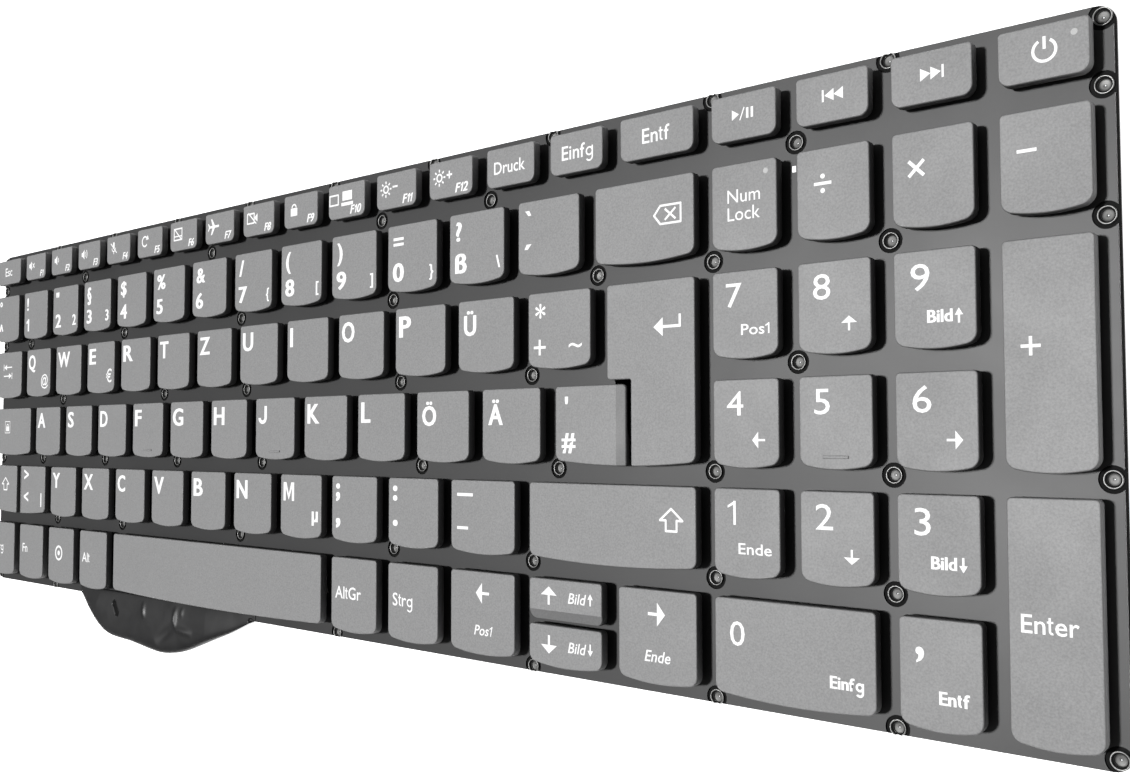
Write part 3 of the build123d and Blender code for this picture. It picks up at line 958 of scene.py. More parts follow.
def draw_plane(pen: Pen) -> None:
    """Aeroplane that points to the right."""
    pen.bar((-0.6, 0), (0.55, 0), 0.16)
    pen.dot((0.55, 0), 0.08)
    pen.fill([(0.15, 0.05), (-0.2, 0.55), (-0.35, 0.55), (-0.15, 0.05)])
    pen.fill([(-0.15, -0.05), (-0.35, -0.55), (-0.2, -0.55), (0.15, -0.05)])
    pen.fill([(-0.45, 0.05), (-0.6, 0.26), (-0.7, 0.26), (-0.62, 0.05)])
    pen.fill([(-0.62, -0.05), (-0.7, -0.26), (-0.6, -0.26), (-0.45, -0.05)])


def draw_camera_off(pen: Pen) -> None:
    """Struck-out camera."""
    pen.box(-0.55, 0.2, 0.32)
    pen.fill([(0.28, 0.06), (0.58, 0.28), (0.58, -0.28), (0.28, -0.06)])
    pen.slash()


def draw_pad_off(pen: Pen) -> None:
    """Struck-out touch pad."""
    pen.box(-0.5, 0.5, 0.4)
    pen.bar((-0.5, -0.14), (0.5, -0.14), 0.08)
    pen.slash()


def draw_turn(pen: Pen) -> None:
    """Round arrow."""
    pen.arc((0, 0), 0.36, 30, 290, 0.12)
    pen.fill([(0.14, 0.1), (0.54, 0.12), (0.4, 0.46)])


def draw_microphone_off(pen: Pen) -> None:
    """Struck-out microphone."""
    pen.bar((0, -0.02), (0, 0.36), 0.24)
    pen.dot((0, 0.36), 0.12)
    pen.arc((0, 0.02), 0.27, 180, 180, 0.08)
    pen.bar((0, -0.26), (0, -0.46), 0.08)
    pen.slash()


def draw_sound(pen: Pen, waves: int) -> None:
    """Loudspeaker with its sound waves, or with a cross where it has none."""
    pen.speaker()
    for i in range(waves):
        pen.arc((-0.08, 0), 0.26 + 0.2 * i, -45, 90, 0.08)
    if not waves:
        pen.cross(0.1, 0.46, 0.2, 0.09)


def draw_sun(pen: Pen, more: bool) -> None:
    """Sun with a plus or a minus."""
    pen.sun()
    pen.bar((0.38, 0.08), (0.82, 0.08), 0.11)
    if more:
        pen.bar((0.6, -0.14), (0.6, 0.3), 0.11)


def draw_divide(pen: Pen) -> None:
    """Bar between two dots."""
    pen.bar((-0.6, 0), (0.6, 0), 0.2)
    pen.dot((0, 0.46), 0.16)
    pen.dot((0, -0.46), 0.16)


DRAWINGS: dict[Sign, Callable[[Pen], None]] = {
    Sign.LEFT: lambda pen: pen.arrow(180),
    Sign.RIGHT: lambda pen: pen.arrow(0),
    Sign.UP: lambda pen: pen.arrow(90),
    Sign.DOWN: lambda pen: pen.arrow(-90),
    Sign.PAGE_UP: lambda pen: pen.arrow(90, wing=0.28),
    Sign.PAGE_DOWN: lambda pen: pen.arrow(-90, wing=0.28),
    Sign.RETURN: draw_return,
    Sign.BACKSPACE: draw_backspace,
    Sign.SHIFT: draw_shift,
    Sign.CAPS: draw_caps,
    Sign.TAB: draw_tab,
    Sign.PLAY_PAUSE: draw_play_pause,
    Sign.PREVIOUS: lambda pen: draw_skip(pen, -1),
    Sign.NEXT: lambda pen: draw_skip(pen, 1),
    Sign.POWER: draw_power,
    Sign.SUN_PLUS: lambda pen: draw_sun(pen, True),
    Sign.SUN_MINUS: lambda pen: draw_sun(pen, False),
    Sign.LOCK: draw_lock,
    Sign.SCREENS: draw_screens,
    Sign.PLANE: draw_plane,
    Sign.CAMERA_OFF: draw_camera_off,
    Sign.PAD_OFF: draw_pad_off,
    Sign.TURN: draw_turn,
    Sign.MICROPHONE_OFF: draw_microphone_off,
    Sign.SILENT: lambda pen: draw_sound(pen, 0),
    Sign.QUIETER: lambda pen: draw_sound(pen, 1),
    Sign.LOUDER: lambda pen: draw_sound(pen, 2),
    Sign.DIVIDE: draw_divide,
    Sign.TIMES: lambda pen: pen.cross(-0.45, 0.45, -0.45, 0.2),
    Sign.MINUS: lambda pen: pen.bar((-0.5, 0), (0.5, 0), 0.18),
    Sign.PLUS: lambda pen: (pen.bar((-0.5, 0), (0.5, 0), 0.17), pen.bar((0, -0.5), (0, 0.5), 0.17)),
    Sign.LONG_DASH: lambda pen: pen.bar((-0.5, 0), (0.5, 0), 0.14),
    Sign.DASH: lambda pen: pen.bar((-0.5, 0), (0.5, 0), 0.19),
    Sign.RING: lambda pen: (pen.arc((0, 0), 0.42, 0, 360, 0.13), pen.dot((0, 0), 0.16)),
}


class Weight(Enum):
    """Stroke weights of the lettering.

    Each holds the growth of typed outlines, the width of redrawn strokes and the shift of a second strike.
    """

    THIN = (0.0, 0.1, 0.0)
    PLAIN = (0.009, 0.125, 0.0)
    BOLD = (0.015, 0.2, 0.06)
    HEAVY = (0.04, 0.24, 0.06)

    @property
    def growth(self) -> float:
        """Growth of a typed outline at type size 1."""
        return self.value[0]

    @property
    def stroke(self) -> float:
        """Stroke width at cap height 1."""
        return self.value[1]

    @property
    def strike(self) -> float:
        """Shift of the second strike at cap height 1, or nothing where a letter is struck once."""
        return self.value[2]


class Align(Enum):
    """Side of a word that its place names."""

    LEFT = "LEFT"
    CENTER = "CENTER"
    RIGHT = "RIGHT"


@dataclass(frozen=True)
class Word:
    """Typed mark: its place is on the baseline, from the cap's left edge and down from its back edge."""

    text: str
    right: float
    down: float
    height: float
    weight: Weight = Weight.PLAIN
    align: Align = Align.LEFT
    slant: float = 0.0
    squeeze: float = 1.0


@dataclass(frozen=True)
class Drawn:
    """Drawn mark: its place is its centre, from the cap's left edge and down from its back edge."""

    sign: Sign
    right: float
    down: float
    height: float


Mark = Word | Drawn


LETTER_WIDTHS = {
    "B": 1.25, "C": 0.95, "D": 0.95, "E": 1.3, "F": 1.25, "G": 1.15, "H": 1.15, "J": 1.15, "M": 1.0,
    "O": 0.86, "P": 1.2, "Q": 0.9, "R": 1.35, "S": 1.25, "V": 1.12,
}
PAGE_SIGN = 2.2


def letter(text: str) -> list[Mark]:
    """Large letter at the back left of a cap, widened or narrowed to even proportions."""
    return [Word(text, 1.1, 6.15, 4.3, Weight.BOLD, squeeze=LETTER_WIDTHS.get(text, 1.04))]


def umlaut(text: str) -> list[Mark]:
    """Large letter with two dots, a little lower and smaller."""
    return [Word(text, 1.6, 7.0, 3.9, Weight.BOLD, squeeze=0.92)]


def number_marks(upper: str, digit: str, third: str) -> list[Mark]:
    """Digit, the mark above it and the one beside it."""
    marks: list[Mark] = [
        Word(upper, 1.8, 5.5, 3.7, Weight.BOLD, squeeze=1.1),
        Word(digit, 1.6, 12.1, 3.8, Weight.BOLD, squeeze=1.25),
    ]
    if third:
        height = 3.0 if third.isdigit() else 2.35
        marks.append(Word(third, 14.2, 11.9, height, Weight.BOLD, Align.RIGHT))
    return marks


def function_marks(sign: Sign, number: int) -> list[Mark]:
    """Sign at the back left and the slanted number of a function key."""
    return [
        Drawn(sign, 4.6 if sign is Sign.SCREENS else 3.8, 3.4, 3.7),
        Word(f"F{number}", 11.2, 7.05, 1.85, Weight.BOLD, Align.RIGHT, 0.25),
    ]


def pad_digit(digit: str, *others: Mark) -> list[Mark]:
    """Thin digit of the number pad, with further marks."""
    return [Word(digit, 2.65, 6.0, 3.95, Weight.THIN, squeeze=1.18), *others]


def pad_word(text: str) -> Word:
    """Small word at the front right of a pad key."""
    return Word(text, 10.8, 10.7, 1.75, Weight.PLAIN, Align.RIGHT, squeeze=1.26)


def pad_page(digit: str, sign: Sign) -> list[Mark]:
    """Digit of the number pad, with the word and the arrow for paging."""
    word = Word("Bild", 8.9, 10.8, 1.8, Weight.BOLD, Align.RIGHT)
    return pad_digit(digit, word, Drawn(sign, 9.8, 10.0, PAGE_SIGN))


def front_word(text: str, right: float) -> Word:
    """Small bold word at the front right of a pad key in the last row."""
    return Word(text, right, 12.2, 1.85, Weight.BOLD, Align.RIGHT)


def page_marks(arrow: Drawn, sign: Sign, baseline: float) -> list[Mark]:
    """Arrow of a low key, with a slanted word and the arrow for paging."""
    word = Word("Bild", 13.4, baseline, 1.9, Weight.PLAIN, Align.RIGHT, 0.22)
    return [arrow, word, Drawn(sign, 14.75, arrow.down, PAGE_SIGN)]


def plain_word(text: str, right: float, down: float, height: float = 2.6) -> list[Mark]:
    """One word on a cap."""
    return [Word(text, right, down, height, Weight.PLAIN)]


def slanted(text: str, middle: float, down: float) -> Word:
    """Small slanted word, centred."""
    return Word(text, middle, down, 1.9, Weight.PLAIN, Align.CENTER, 0.22)


FUNCTION_SIGNS = (
    Sign.SILENT, Sign.QUIETER, Sign.LOUDER, Sign.MICROPHONE_OFF, Sign.TURN, Sign.PAD_OFF, Sign.PLANE,
    Sign.CAMERA_OFF, Sign.LOCK, Sign.SCREENS, Sign.SUN_MINUS, Sign.SUN_PLUS,
)
ROW_MARKS: dict[str, list[list[Mark]]] = {
    "function_keys": [function_marks(sign, number) for number, sign in enumerate(FUNCTION_SIGNS, 1)],
    "number_keys": [
        number_marks(*marks) for marks in (
            ("!", "1", ""), ('"', "2", "2"), ("§", "3", "3"), ("$", "4", ""), ("%", "5", ""),
            ("&", "6", ""), ("/", "7", "{"), ("(", "8", "["), (")", "9", "]"), ("=", "0", "}"),
            ("?", "ß", "\\"), ("`", "´", ""),
        )
    ],
    "upper_letter_keys": [
        letter("Q") + [Word("@", 13.9, 11.3, 3.2, Weight.PLAIN, Align.RIGHT)], letter("W"),
        letter("E") + [Word("€", 13.9, 11.6, 3.5, Weight.PLAIN, Align.RIGHT)],
        *(letter(text) for text in "RTZUIOP"), umlaut("Ü"),
        [Word("*", 1.8, 6.6, 4.2, Weight.PLAIN), Drawn(Sign.PLUS, 2.9, 10.45, 3.0),
         Word("~", 13.2, 12.0, 4.0, Weight.THIN, Align.RIGHT)],
    ],
    "home_letter_keys": [*(letter(text) for text in "ASDFGHJKL"), umlaut("Ö"), umlaut("Ä")],
    "lower_letter_keys": [
        *(letter(text) for text in "YXCVBN"),
        letter("M") + [Word("µ", 14.0, 10.6, 3.4, Weight.BOLD, Align.RIGHT)],
        [Word(";", 1.4, 4.6, 4.0, Weight.HEAVY), Word(",", 1.4, 10.4, 4.4, Weight.HEAVY)],
        [Word(":", 1.4, 4.6, 4.0, Weight.HEAVY), Word(".", 1.4, 9.9, 4.4, Weight.HEAVY)],
    ],
}
KEY_MARKS: dict[str, list[Mark]] = {
    "key_escape": plain_word("Esc", 5.2, 5.1),
    "key_print": [Word("Druck", 2.0, 5.15, 2.4, Weight.PLAIN, squeeze=0.92)],
    "key_insert": plain_word("Einfg", 2.9, 5.15),
    "key_delete": plain_word("Entf", 4.9, 5.1),
    "key_play": [Drawn(Sign.PLAY_PAUSE, 6.2, 3.5, 2.1)],
    "key_previous": [Drawn(Sign.PREVIOUS, 6.4, 3.5, 2.1)],
    "key_next": [Drawn(Sign.NEXT, 6.4, 3.5, 2.1)],
    "key_power": [Drawn(Sign.POWER, 6.4, 3.7, 3.5)],
    "key_caret": [Word("°", 1.8, 5.5, 3.7, Weight.BOLD), Word("^", 1.6, 12.6, 3.8, Weight.BOLD)],
    "key_backspace": [Drawn(Sign.BACKSPACE, 16.0, 6.65, 3.5)],
    "key_num_lock": [Word("Num", 3.1, 6.55, 2.2, Weight.THIN), Word("Lock", 3.1, 9.55, 2.2, Weight.THIN)],
    "key_pad_divide": [Drawn(Sign.DIVIDE, 4.55, 5.65, 2.5)],
    "key_pad_times": [Drawn(Sign.TIMES, 3.8, 5.65, 2.6)],
    "key_pad_minus": [Drawn(Sign.MINUS, 3.75, 5.65, 2.7)],
    "key_tab": [Drawn(Sign.TAB, 8.4, 6.2, 4.6)],
    "key_pad_7": pad_digit("7", pad_word("Pos1")),
    "key_pad_8": pad_digit("8", Drawn(Sign.UP, 8.7, 10.0, 2.3)),
    "key_pad_9": pad_page("9", Sign.PAGE_UP),
    "key_pad_plus": [Drawn(Sign.PLUS, 3.75, 15.0, 2.7)],
    "key_caps_lock": [Drawn(Sign.CAPS, 9.0, 5.9, 3.0)],
    "key_pad_4": pad_digit("4", Drawn(Sign.LEFT, 8.6, 10.05, 2.4)),
    "key_pad_5": pad_digit("5"),
    "key_pad_6": pad_digit("6", Drawn(Sign.RIGHT, 8.9, 10.05, 2.4)),
    "key_dash": [Drawn(Sign.LONG_DASH, 3.95, 2.95, 4.4), Drawn(Sign.DASH, 3.3, 9.6, 3.1)],
    "key_shift_right": [Drawn(Sign.SHIFT, 32.6, 5.8, 4.0)],
    "key_pad_1": pad_digit("1", pad_word("Ende")),
    "key_pad_2": pad_digit("2", Drawn(Sign.DOWN, 8.65, 9.95, 2.3)),
    "key_pad_3": pad_page("3", Sign.PAGE_DOWN),
    "key_pad_enter": plain_word("Enter", 1.7, 18.55, 2.5),
    "key_control_left": plain_word("Strg", 1.6, 8.9),
    "key_fn": plain_word("Fn", 2.0, 8.4),
    "key_system": [Drawn(Sign.RING, 6.4, 7.4, 4.6)],
    "key_alt": plain_word("Alt", 1.5, 8.9),
    "key_alt_right": plain_word("AltGr", 1.4, 9.0),
    "key_control_right": plain_word("Strg", 1.5, 8.9),
    "key_left": [Drawn(Sign.LEFT, 8.85, 4.2, 3.6), slanted("Pos1", 8.9, 12.4)],
    "key_right": [Drawn(Sign.RIGHT, 8.2, 4.2, 3.6), slanted("Ende", 8.3, 12.4)],
    "key_pad_0": [Word("0", 2.9, 7.65, 3.9, Weight.THIN, squeeze=1.1), front_word("Einfg", 26.3)],
    "key_pad_comma": [Word(",", 2.5, 5.4, 6.0, Weight.PLAIN), front_word("Entf", 10.4)],
    "key_hash": [Word("'", 2.3, 5.6, 3.4, Weight.BOLD), Word("#", 1.5, 12.0, 3.5, Weight.BOLD)],
    "key_enter": [Drawn(Sign.RETURN, 13.3, 7.9, 3.3)],
    "key_shift_left": [Drawn(Sign.SHIFT, 8.4, 5.8, 4.0)],
    "key_angle": [
        Word(">", 3.6, 4.6, 3.8, Weight.BOLD), Word("<", 3.6, 11.4, 3.8, Weight.BOLD),
        Word("|", 14.6, 11.2, 3.0, Weight.BOLD),
    ],
    "key_up": page_marks(Drawn(Sign.UP, 4.85, 3.1, 3.4), Sign.PAGE_UP, 4.15),
    "key_down": page_marks(Drawn(Sign.DOWN, 4.9, 3.6, 3.4), Sign.PAGE_DOWN, 4.6),
}


def glyph_one(pen: Pen, stroke: float) -> None:
    """Figure one with a flag."""
    pen.bar((0.3, 0), (0.3, 1), stroke)
    pen.fill([(0.3, 1), (0.02, 0.8), (0.02, 0.8 - stroke), (0.3, 1 - 1.3 * stroke)])


def glyph_hook(pen: Pen, stroke: float) -> None:
    """Capital letter of a stem that ends in a hook to the left, on the line."""
    radius = 0.24
    level = radius + stroke / 2
    pen.bar((2 * radius, level), (2 * radius, 1), stroke)
    pen.arc((radius, level), radius, 180, 180, stroke)


def glyph_loop(pen: Pen, stroke: float) -> None:
    """Small letter of a ring with a stem that hooks below the line."""
    radius = 0.27
    pen.arc((radius, radius + stroke / 2), radius, 0, 360, stroke)
    pen.bar((2 * radius, -0.08), (2 * radius, 0.72), stroke)
    pen.arc((radius, -0.08), radius, 0, -150, stroke)


def glyph_cross(pen: Pen, stroke: float) -> None:
    """Small letter of a stem with a bar across and a foot to the right."""
    radius = 0.13
    pen.bar((0.15, radius + stroke / 2), (0.15, 0.92), stroke)
    pen.arc((0.15 + radius, radius + stroke / 2), radius, 180, 110, stroke)
    pen.bar((0.0, 0.67), (0.34, 0.67), stroke * 0.9)


def glyph_peaks(pen: Pen, stroke: float) -> None:
    """Capital letter of two stems with a valley between them."""
    width, shoulder, middle = 0.94, 0.7, 0.47
    half = [(0, 0), (0, 1), (1.3 * stroke, 1), (middle, 0.36)]
    inner = [(middle, 0.04), (stroke, shoulder), (stroke, 0)]
    mirrored = [(width - x, y) for x, y in half[2::-1]] + [(width - x, y) for x, y in inner[:0:-1]]
    pen.fill(half + mirrored + inner)


REDRAWN: dict[str, Callable[[Pen, float], None]] = {
    "1": glyph_one, "J": glyph_hook, "M": glyph_peaks, "g": glyph_loop, "t": glyph_cross,
}


@dataclass
class Typesetter:
    """Sets words from typed runs and the few letters that are redrawn, at cap height 1."""

    curve_steps: int = 3
    letter_gap: float = 0.08
    _runs: dict[tuple[str, Weight], Mesh] = field(default_factory=dict)

    @staticmethod
    def runs(text: str) -> list[str]:
        """Parts of a word: single redrawn letters and the typed stretches between them."""
        parts: list[str] = []
        for sign in text:
            joins = parts and sign not in REDRAWN and parts[-1] not in REDRAWN
            parts = [*parts[:-1], parts[-1] + sign] if joins else [*parts, sign]
        return parts

    def press(self, words: Sequence[Word]) -> None:
        """Make a flat mesh of each typed run.

        Args:
            words: all words that will be set.
        """
        wanted = [(run, word.weight) for word in words for run in self.runs(word.text) if run not in REDRAWN]
        keys = list(dict.fromkeys([*wanted, ("H", Weight.THIN)]))
        texts = []
        for run, weight in keys:
            curve = bpy.data.curves.new("type", "FONT")
            curve.body, curve.offset, curve.resolution_u = run, weight.growth, self.curve_steps
            texts.append(add_object("type", curve))
        graph = bpy.context.evaluated_depsgraph_get()
        meshes = [bpy.data.meshes.new_from_object(text.evaluated_get(graph)) for text in texts]
        size = 1 / max(vert.co.y for vert in meshes[-1].vertices)
        for key, mesh, text in zip(keys, meshes, texts):
            mesh.transform(Matrix.Diagonal((size, size, 1, 1)))
            self._runs[key] = mesh
            curve = text.data
            bpy.data.objects.remove(text)
            bpy.data.curves.remove(curve)

    def compose(self, word: Word) -> BMesh:
        """Shape of a word, with its place on the baseline at the origin.

        Args:
            word: the word.

        Returns:
            The flat shape in millimetres.
        """
        line = bmesh.new()
        edge = 0.0
        for run in self.runs(word.text):
            shape = bmesh.new()
            if run in REDRAWN:
                pen = Pen()
                REDRAWN[run](pen, word.weight.stroke)
                join_shapes(shape, pen.shape)
            else:
                shape.from_mesh(self._runs[run, word.weight])
                if word.weight.strike:
                    again = bmesh.ops.duplicate(shape, geom=everything(shape))
                    shift = (word.weight.strike, 0, Pen.LAYER)
                    bmesh.ops.translate(shape, vec=shift, verts=only_verts(again["geom"]))
            low, high = shape_box(shape)
            gap = self.letter_gap if edge else 0.0
            bmesh.ops.translate(shape, vec=(edge + gap - low.x, 0, 0), verts=shape.verts)
            edge += gap + high.x - low.x
            join_shapes(line, shape)
        start = {Align.LEFT: 0.0, Align.CENTER: -edge / 2, Align.RIGHT: -edge}[word.align]
        lean = Matrix(((1, word.slant, 0, 0), (0, 1, 0, 0), (0, 0, 1, 0), (0, 0, 0, 1)))
        size = Matrix.Diagonal((word.height * word.squeeze, word.height, 1, 1))
        bmesh.ops.transform(line, matrix=size @ lean @ Matrix.Translation((start, 0, 0)), verts=line.verts)
        return line

    def clear(self) -> None:
        """Remove the meshes of the typed runs."""
        for mesh in self._runs.values():
            bpy.data.meshes.remove(mesh)
        self._runs.clear()


@dataclass
class Legends:
    """Printed legends: flat white marks a hair above the cap faces, with a faint painted glow."""

    lift: float = 0.012
    setter: Typesetter = field(default_factory=Typesetter)

    def print_on(self, caps: Sequence[Cap], marks: Sequence[Sequence[Mark]], name: str) -> Object:
        """Print marks on caps of one body.

        Args:
            caps: the caps.
            marks: marks of each cap.
            name: name of the piece.

        Returns:
            The piece with all these marks.
        """
        ink = bmesh.new()
        for cap, cap_marks in zip(caps, marks):
            for mark in cap_marks:
                shape = self.setter.compose(mark) if isinstance(mark, Word) else self._drawn(mark)
                place = (cap.back_left + mark.right, cap.back - mark.down, CAP_TOP + self.lift)
                bmesh.ops.translate(shape, vec=place, verts=shape.verts)
                join_shapes(ink, shape)
        for face in ink.faces:
            face.normal_update()
            if face.normal.z < 0:
                face.normal_flip()
        return make_piece(ink, name, (LEGEND_WHITE_PAINTED_GLOW,), caps[0].body)

    def _drawn(self, mark: Drawn) -> BMesh:
        """Shape of a drawn mark with its centre at the origin."""
        pen = Pen()
        DRAWINGS[mark.sign](pen)
        bmesh.ops.scale(pen.shape, vec=(mark.height, mark.height, 1), verts=pen.shape.verts)
        return pen.shape

    def build(self, field_of_keys: KeyField) -> None:
        """Print all caps."""
        groups = [marks for row in ROW_MARKS.values() for marks in row] + list(KEY_MARKS.values())
        self.setter.press([mark for marks in groups for mark in marks if isinstance(mark, Word)])
        for node, marks in ROW_MARKS.items():
            self.print_on(field_of_keys.rows[node], marks, f"legend_{node}")
        for node, marks in KEY_MARKS.items():
            self.print_on([field_of_keys.keys[node]], [marks], node.replace("key_", "legend_"))
        self.setter.clear()
        LOG.info("legends printed on %d rows and %d caps", len(ROW_MARKS), len(KEY_MARKS))


# Plate, film, bosses and tail


@dataclass
class FixingPlaces:
    """Centres of the fixing holes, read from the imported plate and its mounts."""

    notch_inset: float = 1.05
    edge_band: float = 2.0
    reach: float = 2.5
    side: list[Point] = field(default_factory=list)
    inner: list[Point] = field(default_factory=list)
    notches: list[Point] = field(default_factory=list)

    def read(self) -> None:
        """Read the places of all holes from the frame."""
        for mount in frame["record"]["mounts"]:
            if mount["kind"] == "bolt_pattern":
                half_x = mount["dims"]["spacing_x_mm"] / 2
                half_y = mount["dims"].get("spacing_y_mm", 0.0) / 2
                middle = mount["pos_m"][1] / MM
                ys = sorted({middle - half_y, middle + half_y})
                self.side += [(x, y) for x in (-half_x, half_x) for y in ys]
        side_x = PLATE_HIGH.x - 2 * self.edge_band
        edge_y = PLATE_HIGH.y - self.edge_band
        points = [vert.co / MM for vert in frame["nodes"]["base_plate"].data.vertices]
        inside = [p for p in points if abs(p.x) < side_x]
        self.inner = self._centres([p for p in inside if abs(p.y) < edge_y])
        for sign in (-1, 1):
            edge = [p for p in inside if p.y * sign >= edge_y]
            self.notches += [(x, sign * (PLATE_HIGH.y - self.notch_inset)) for x, _ in self._centres(edge)]

    def _centres(self, points: Sequence[Vector]) -> list[Point]:
        """Middles of clusters of points."""
        clusters: list[list[Vector]] = []
        for point in points:
            near = [c for c in clusters if (c[0].xy - point.xy).length < self.reach]
            if near:
                near[0].append(point)
            else:
                clusters.append([point])
        return [
            ((min(p.x for p in c) + max(p.x for p in c)) / 2, (min(p.y for p in c) + max(p.y for p in c)) / 2)
            for c in clusters
        ]

    @property
    def all(self) -> list[Point]:
        """Every fixing place."""
        return self.side + self.inner + self.notches


@dataclass
class SheetStack:
    """Stamped plate and the film sheet on it, pierced at the fixing places."""

    places: FixingPlaces
    plate_corner: float = 2.6
    corner_segments: int = 8
    film_inset: Point = (0.3, 0.1)
    plate_edge: float = 0.1
    film_edge: float = 0.04
    edge_segments: int = 2
    hole_radius: float = 0.9
    opening_radius: float = 1.95
    hole_segments: int = 28
    cutter_height: float = 6.0
    cut_band: float = 0.06
    cut_rise: float = 0.9
    slot_centre: Point = (119.74, 36.6)
    slot_size: Triple = (0.68, 1.02, 0.06)
    slot_edge: float = 0.02

    def build(self) -> None:
        """Build the plate, the film and the light slot beside the number lock."""
        plate = self._sheet((0.0, 0.0), PLATE_LOW.z, PLATE_HIGH.z, self.plate_edge)
        pierced = self._pierce(plate, self.hole_radius, "stamped_plate")
        piece = place_mesh(pierced, "stamped_plate", (PLATE_BLACK,), BASE)
        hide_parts("base_plate")
        film = self._sheet(self.film_inset, PLATE_HIGH.z, FILM_TOP, self.film_edge)
        opened = self._pierce(film, self.opening_radius, "film_sheet")
        sheet = place_mesh(opened, "film_sheet", (FILM_DARK, FILM_EDGE_PAINTED_HIGHLIGHT), BASE)
        self._mark_cut_edge(opened)
        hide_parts("membrane")
        self._light_slot()
        LOG.info("plate and film pierced at %d places", len(self.places.all))

    def _sheet(self, inset: Point, low: float, high: float, edge: float) -> BMesh:
        """Sheet with rounded corners and softened rims."""
        shape = bmesh.new()
        x, y = PLATE_HIGH.x - inset[0], PLATE_HIGH.y - inset[1]
        corners = [(x, y), (-x, y), (-x, -y), (x, -y)]
        shape.faces.new([shape.verts.new((*corner, low)) for corner in corners])
        setback = self.plate_corner - max(inset)
        round_corners(shape, [(corner, setback) for corner in corners], self.corner_segments)
        raise_outline(shape, high - low)
        soften(shape, rim_edges(shape), edge, self.edge_segments)
        return shape

    def _pierce(self, sheet: BMesh, radius: float, name: str) -> Mesh:
        """Cut a round opening at every fixing place.

        Args:
            sheet: the closed sheet in millimetres, which is freed.
            radius: radius of the openings.
            name: name of the resulting mesh.

        Returns:
            The pierced mesh in metres.
        """
        cutters = bmesh.new()
        for x, y in self.places.all:
            bmesh.ops.create_cone(
                cutters, cap_ends=True, segments=self.hole_segments, radius1=radius, radius2=radius,
                depth=self.cutter_height, matrix=Matrix.Translation((x, y, 0)),
            )
        solids = [add_object(name, mesh_of(shape, name)) for shape in (sheet, cutters)]
        target, tool = solids
        cut = target.modifiers.new("openings", "BOOLEAN")
        cut.operation, cut.solver, cut.object = "DIFFERENCE", "EXACT", tool
        graph = bpy.context.evaluated_depsgraph_get()
        pierced = bpy.data.meshes.new_from_object(target.evaluated_get(graph))
        pierced.transform(Matrix.Diagonal((MM, MM, MM, 1)))
        pierced.name = name
        for solid in solids:
            mesh = solid.data
            bpy.data.objects.remove(solid)
            bpy.data.meshes.remove(mesh)
        return pierced

    def _mark_cut_edge(self, film: Mesh) -> None:
        """Give the film's outer cut a paler colour: a painted highlight along the edge."""
        reach = (PLATE_HIGH.xy - Vector(self.film_inset)) * MM
        corner, band = self.plate_corner * MM, self.cut_band * MM
        for face in film.polygons:
            past = (abs(face.center.x) - reach.x, abs(face.center.y) - reach.y)
            near = max(past) > -band or min(past) > -corner
            face.material_index = int(near and face.normal.z < self.cut_rise)

    def _light_slot(self) -> None:
        """Small pale window in the film, which glows as painted light so that it stays bright in the shade
        between the caps.
        """
        window = bmesh.new()
        bmesh.ops.create_cube(window, size=1.0)
        bmesh.ops.scale(window, vec=self.slot_size, verts=window.verts)
        soften(window, window.edges[:], self.slot_edge, 1)
        bmesh.ops.translate(window, vec=(*self.slot_centre, FILM_TOP), verts=window.verts)
        make_piece(window, "film_window", (WINDOW_WHITE_PAINTED_GLOW,), BASE)


@dataclass
class FixingBosses:
    """Bare metal bosses: a rounded rim round a bowl at each fixing place.

    The profile holds radius and height. What lies within the bowl's radius and height is painted darker:
    painted shade in the bowl.
    """

    places: FixingPlaces
    segments: int = 24
    weld: float = 1e-4
    bowl: Point = (1.05, 0.5)
    profile: tuple[Point, ...] = (
        (1.32, 0.48), (1.32, 0.8), (1.29, 0.85), (1.15, 0.85), (1.1, 0.8), (1.07, 0.6), (1.03, 0.38),
        (0.95, 0.22), (0.8, 0.14), (0.5, 0.11), (0.2, 0.1), (0.1, 0.08), (0.1, 0.02), (0.88, 0.02),
        (0.88, 0.46),
    )

    def build(self) -> None:
        """Build all bosses as one piece, cut off at the plate's edges."""
        bosses = bmesh.new()
        for x, y in self.places.all:
            boss = self._boss()
            bmesh.ops.translate(boss, vec=(x, y, PLATE_LOW.z), verts=boss.verts)
            join_shapes(bosses, boss)
        for sign in (-1, 1):
            cut = bmesh.ops.bisect_plane(
                bosses, geom=everything(bosses), plane_co=(0, sign * PLATE_HIGH.y, 0),
                plane_no=(0, sign, 0), clear_outer=True,
            )
            edges = [item for item in cut["geom_cut"] if isinstance(item, BMEdge)]
            bmesh.ops.holes_fill(bosses, edges=edges, sides=0)
        smooth_bevels(bosses)
        piece = make_piece(bosses, "fixing_bosses", (BOSS_STEEL, BOSS_BOWL_PAINTED_SHADE), BASE)
        LOG.info("%s: %d bosses", piece.name, len(self.places.all))

    def _boss(self) -> BMesh:
        """One boss, turned about its axis."""
        boss = bmesh.new()
        verts = [boss.verts.new((radius, 0, height)) for radius, height in self.profile]
        edges = [boss.edges.new((verts[i - 1], verts[i])) for i in range(len(verts))]
        bmesh.ops.spin(
            boss, geom=verts + edges, cent=(0, 0, 0), axis=(0, 0, 1), angle=math.tau, steps=self.segments,
            use_merge=True,
        )
        bmesh.ops.remove_doubles(boss, verts=boss.verts, dist=self.weld)
        bmesh.ops.recalc_face_normals(boss, faces=boss.faces)
        # Faces inside the bowl take the darker steel: painted shade.
        for face in boss.faces:
            middle = face.calc_center_median()
            face.material_index = int(middle.xy.length < self.bowl[0] and middle.z < self.bowl[1])
        return boss


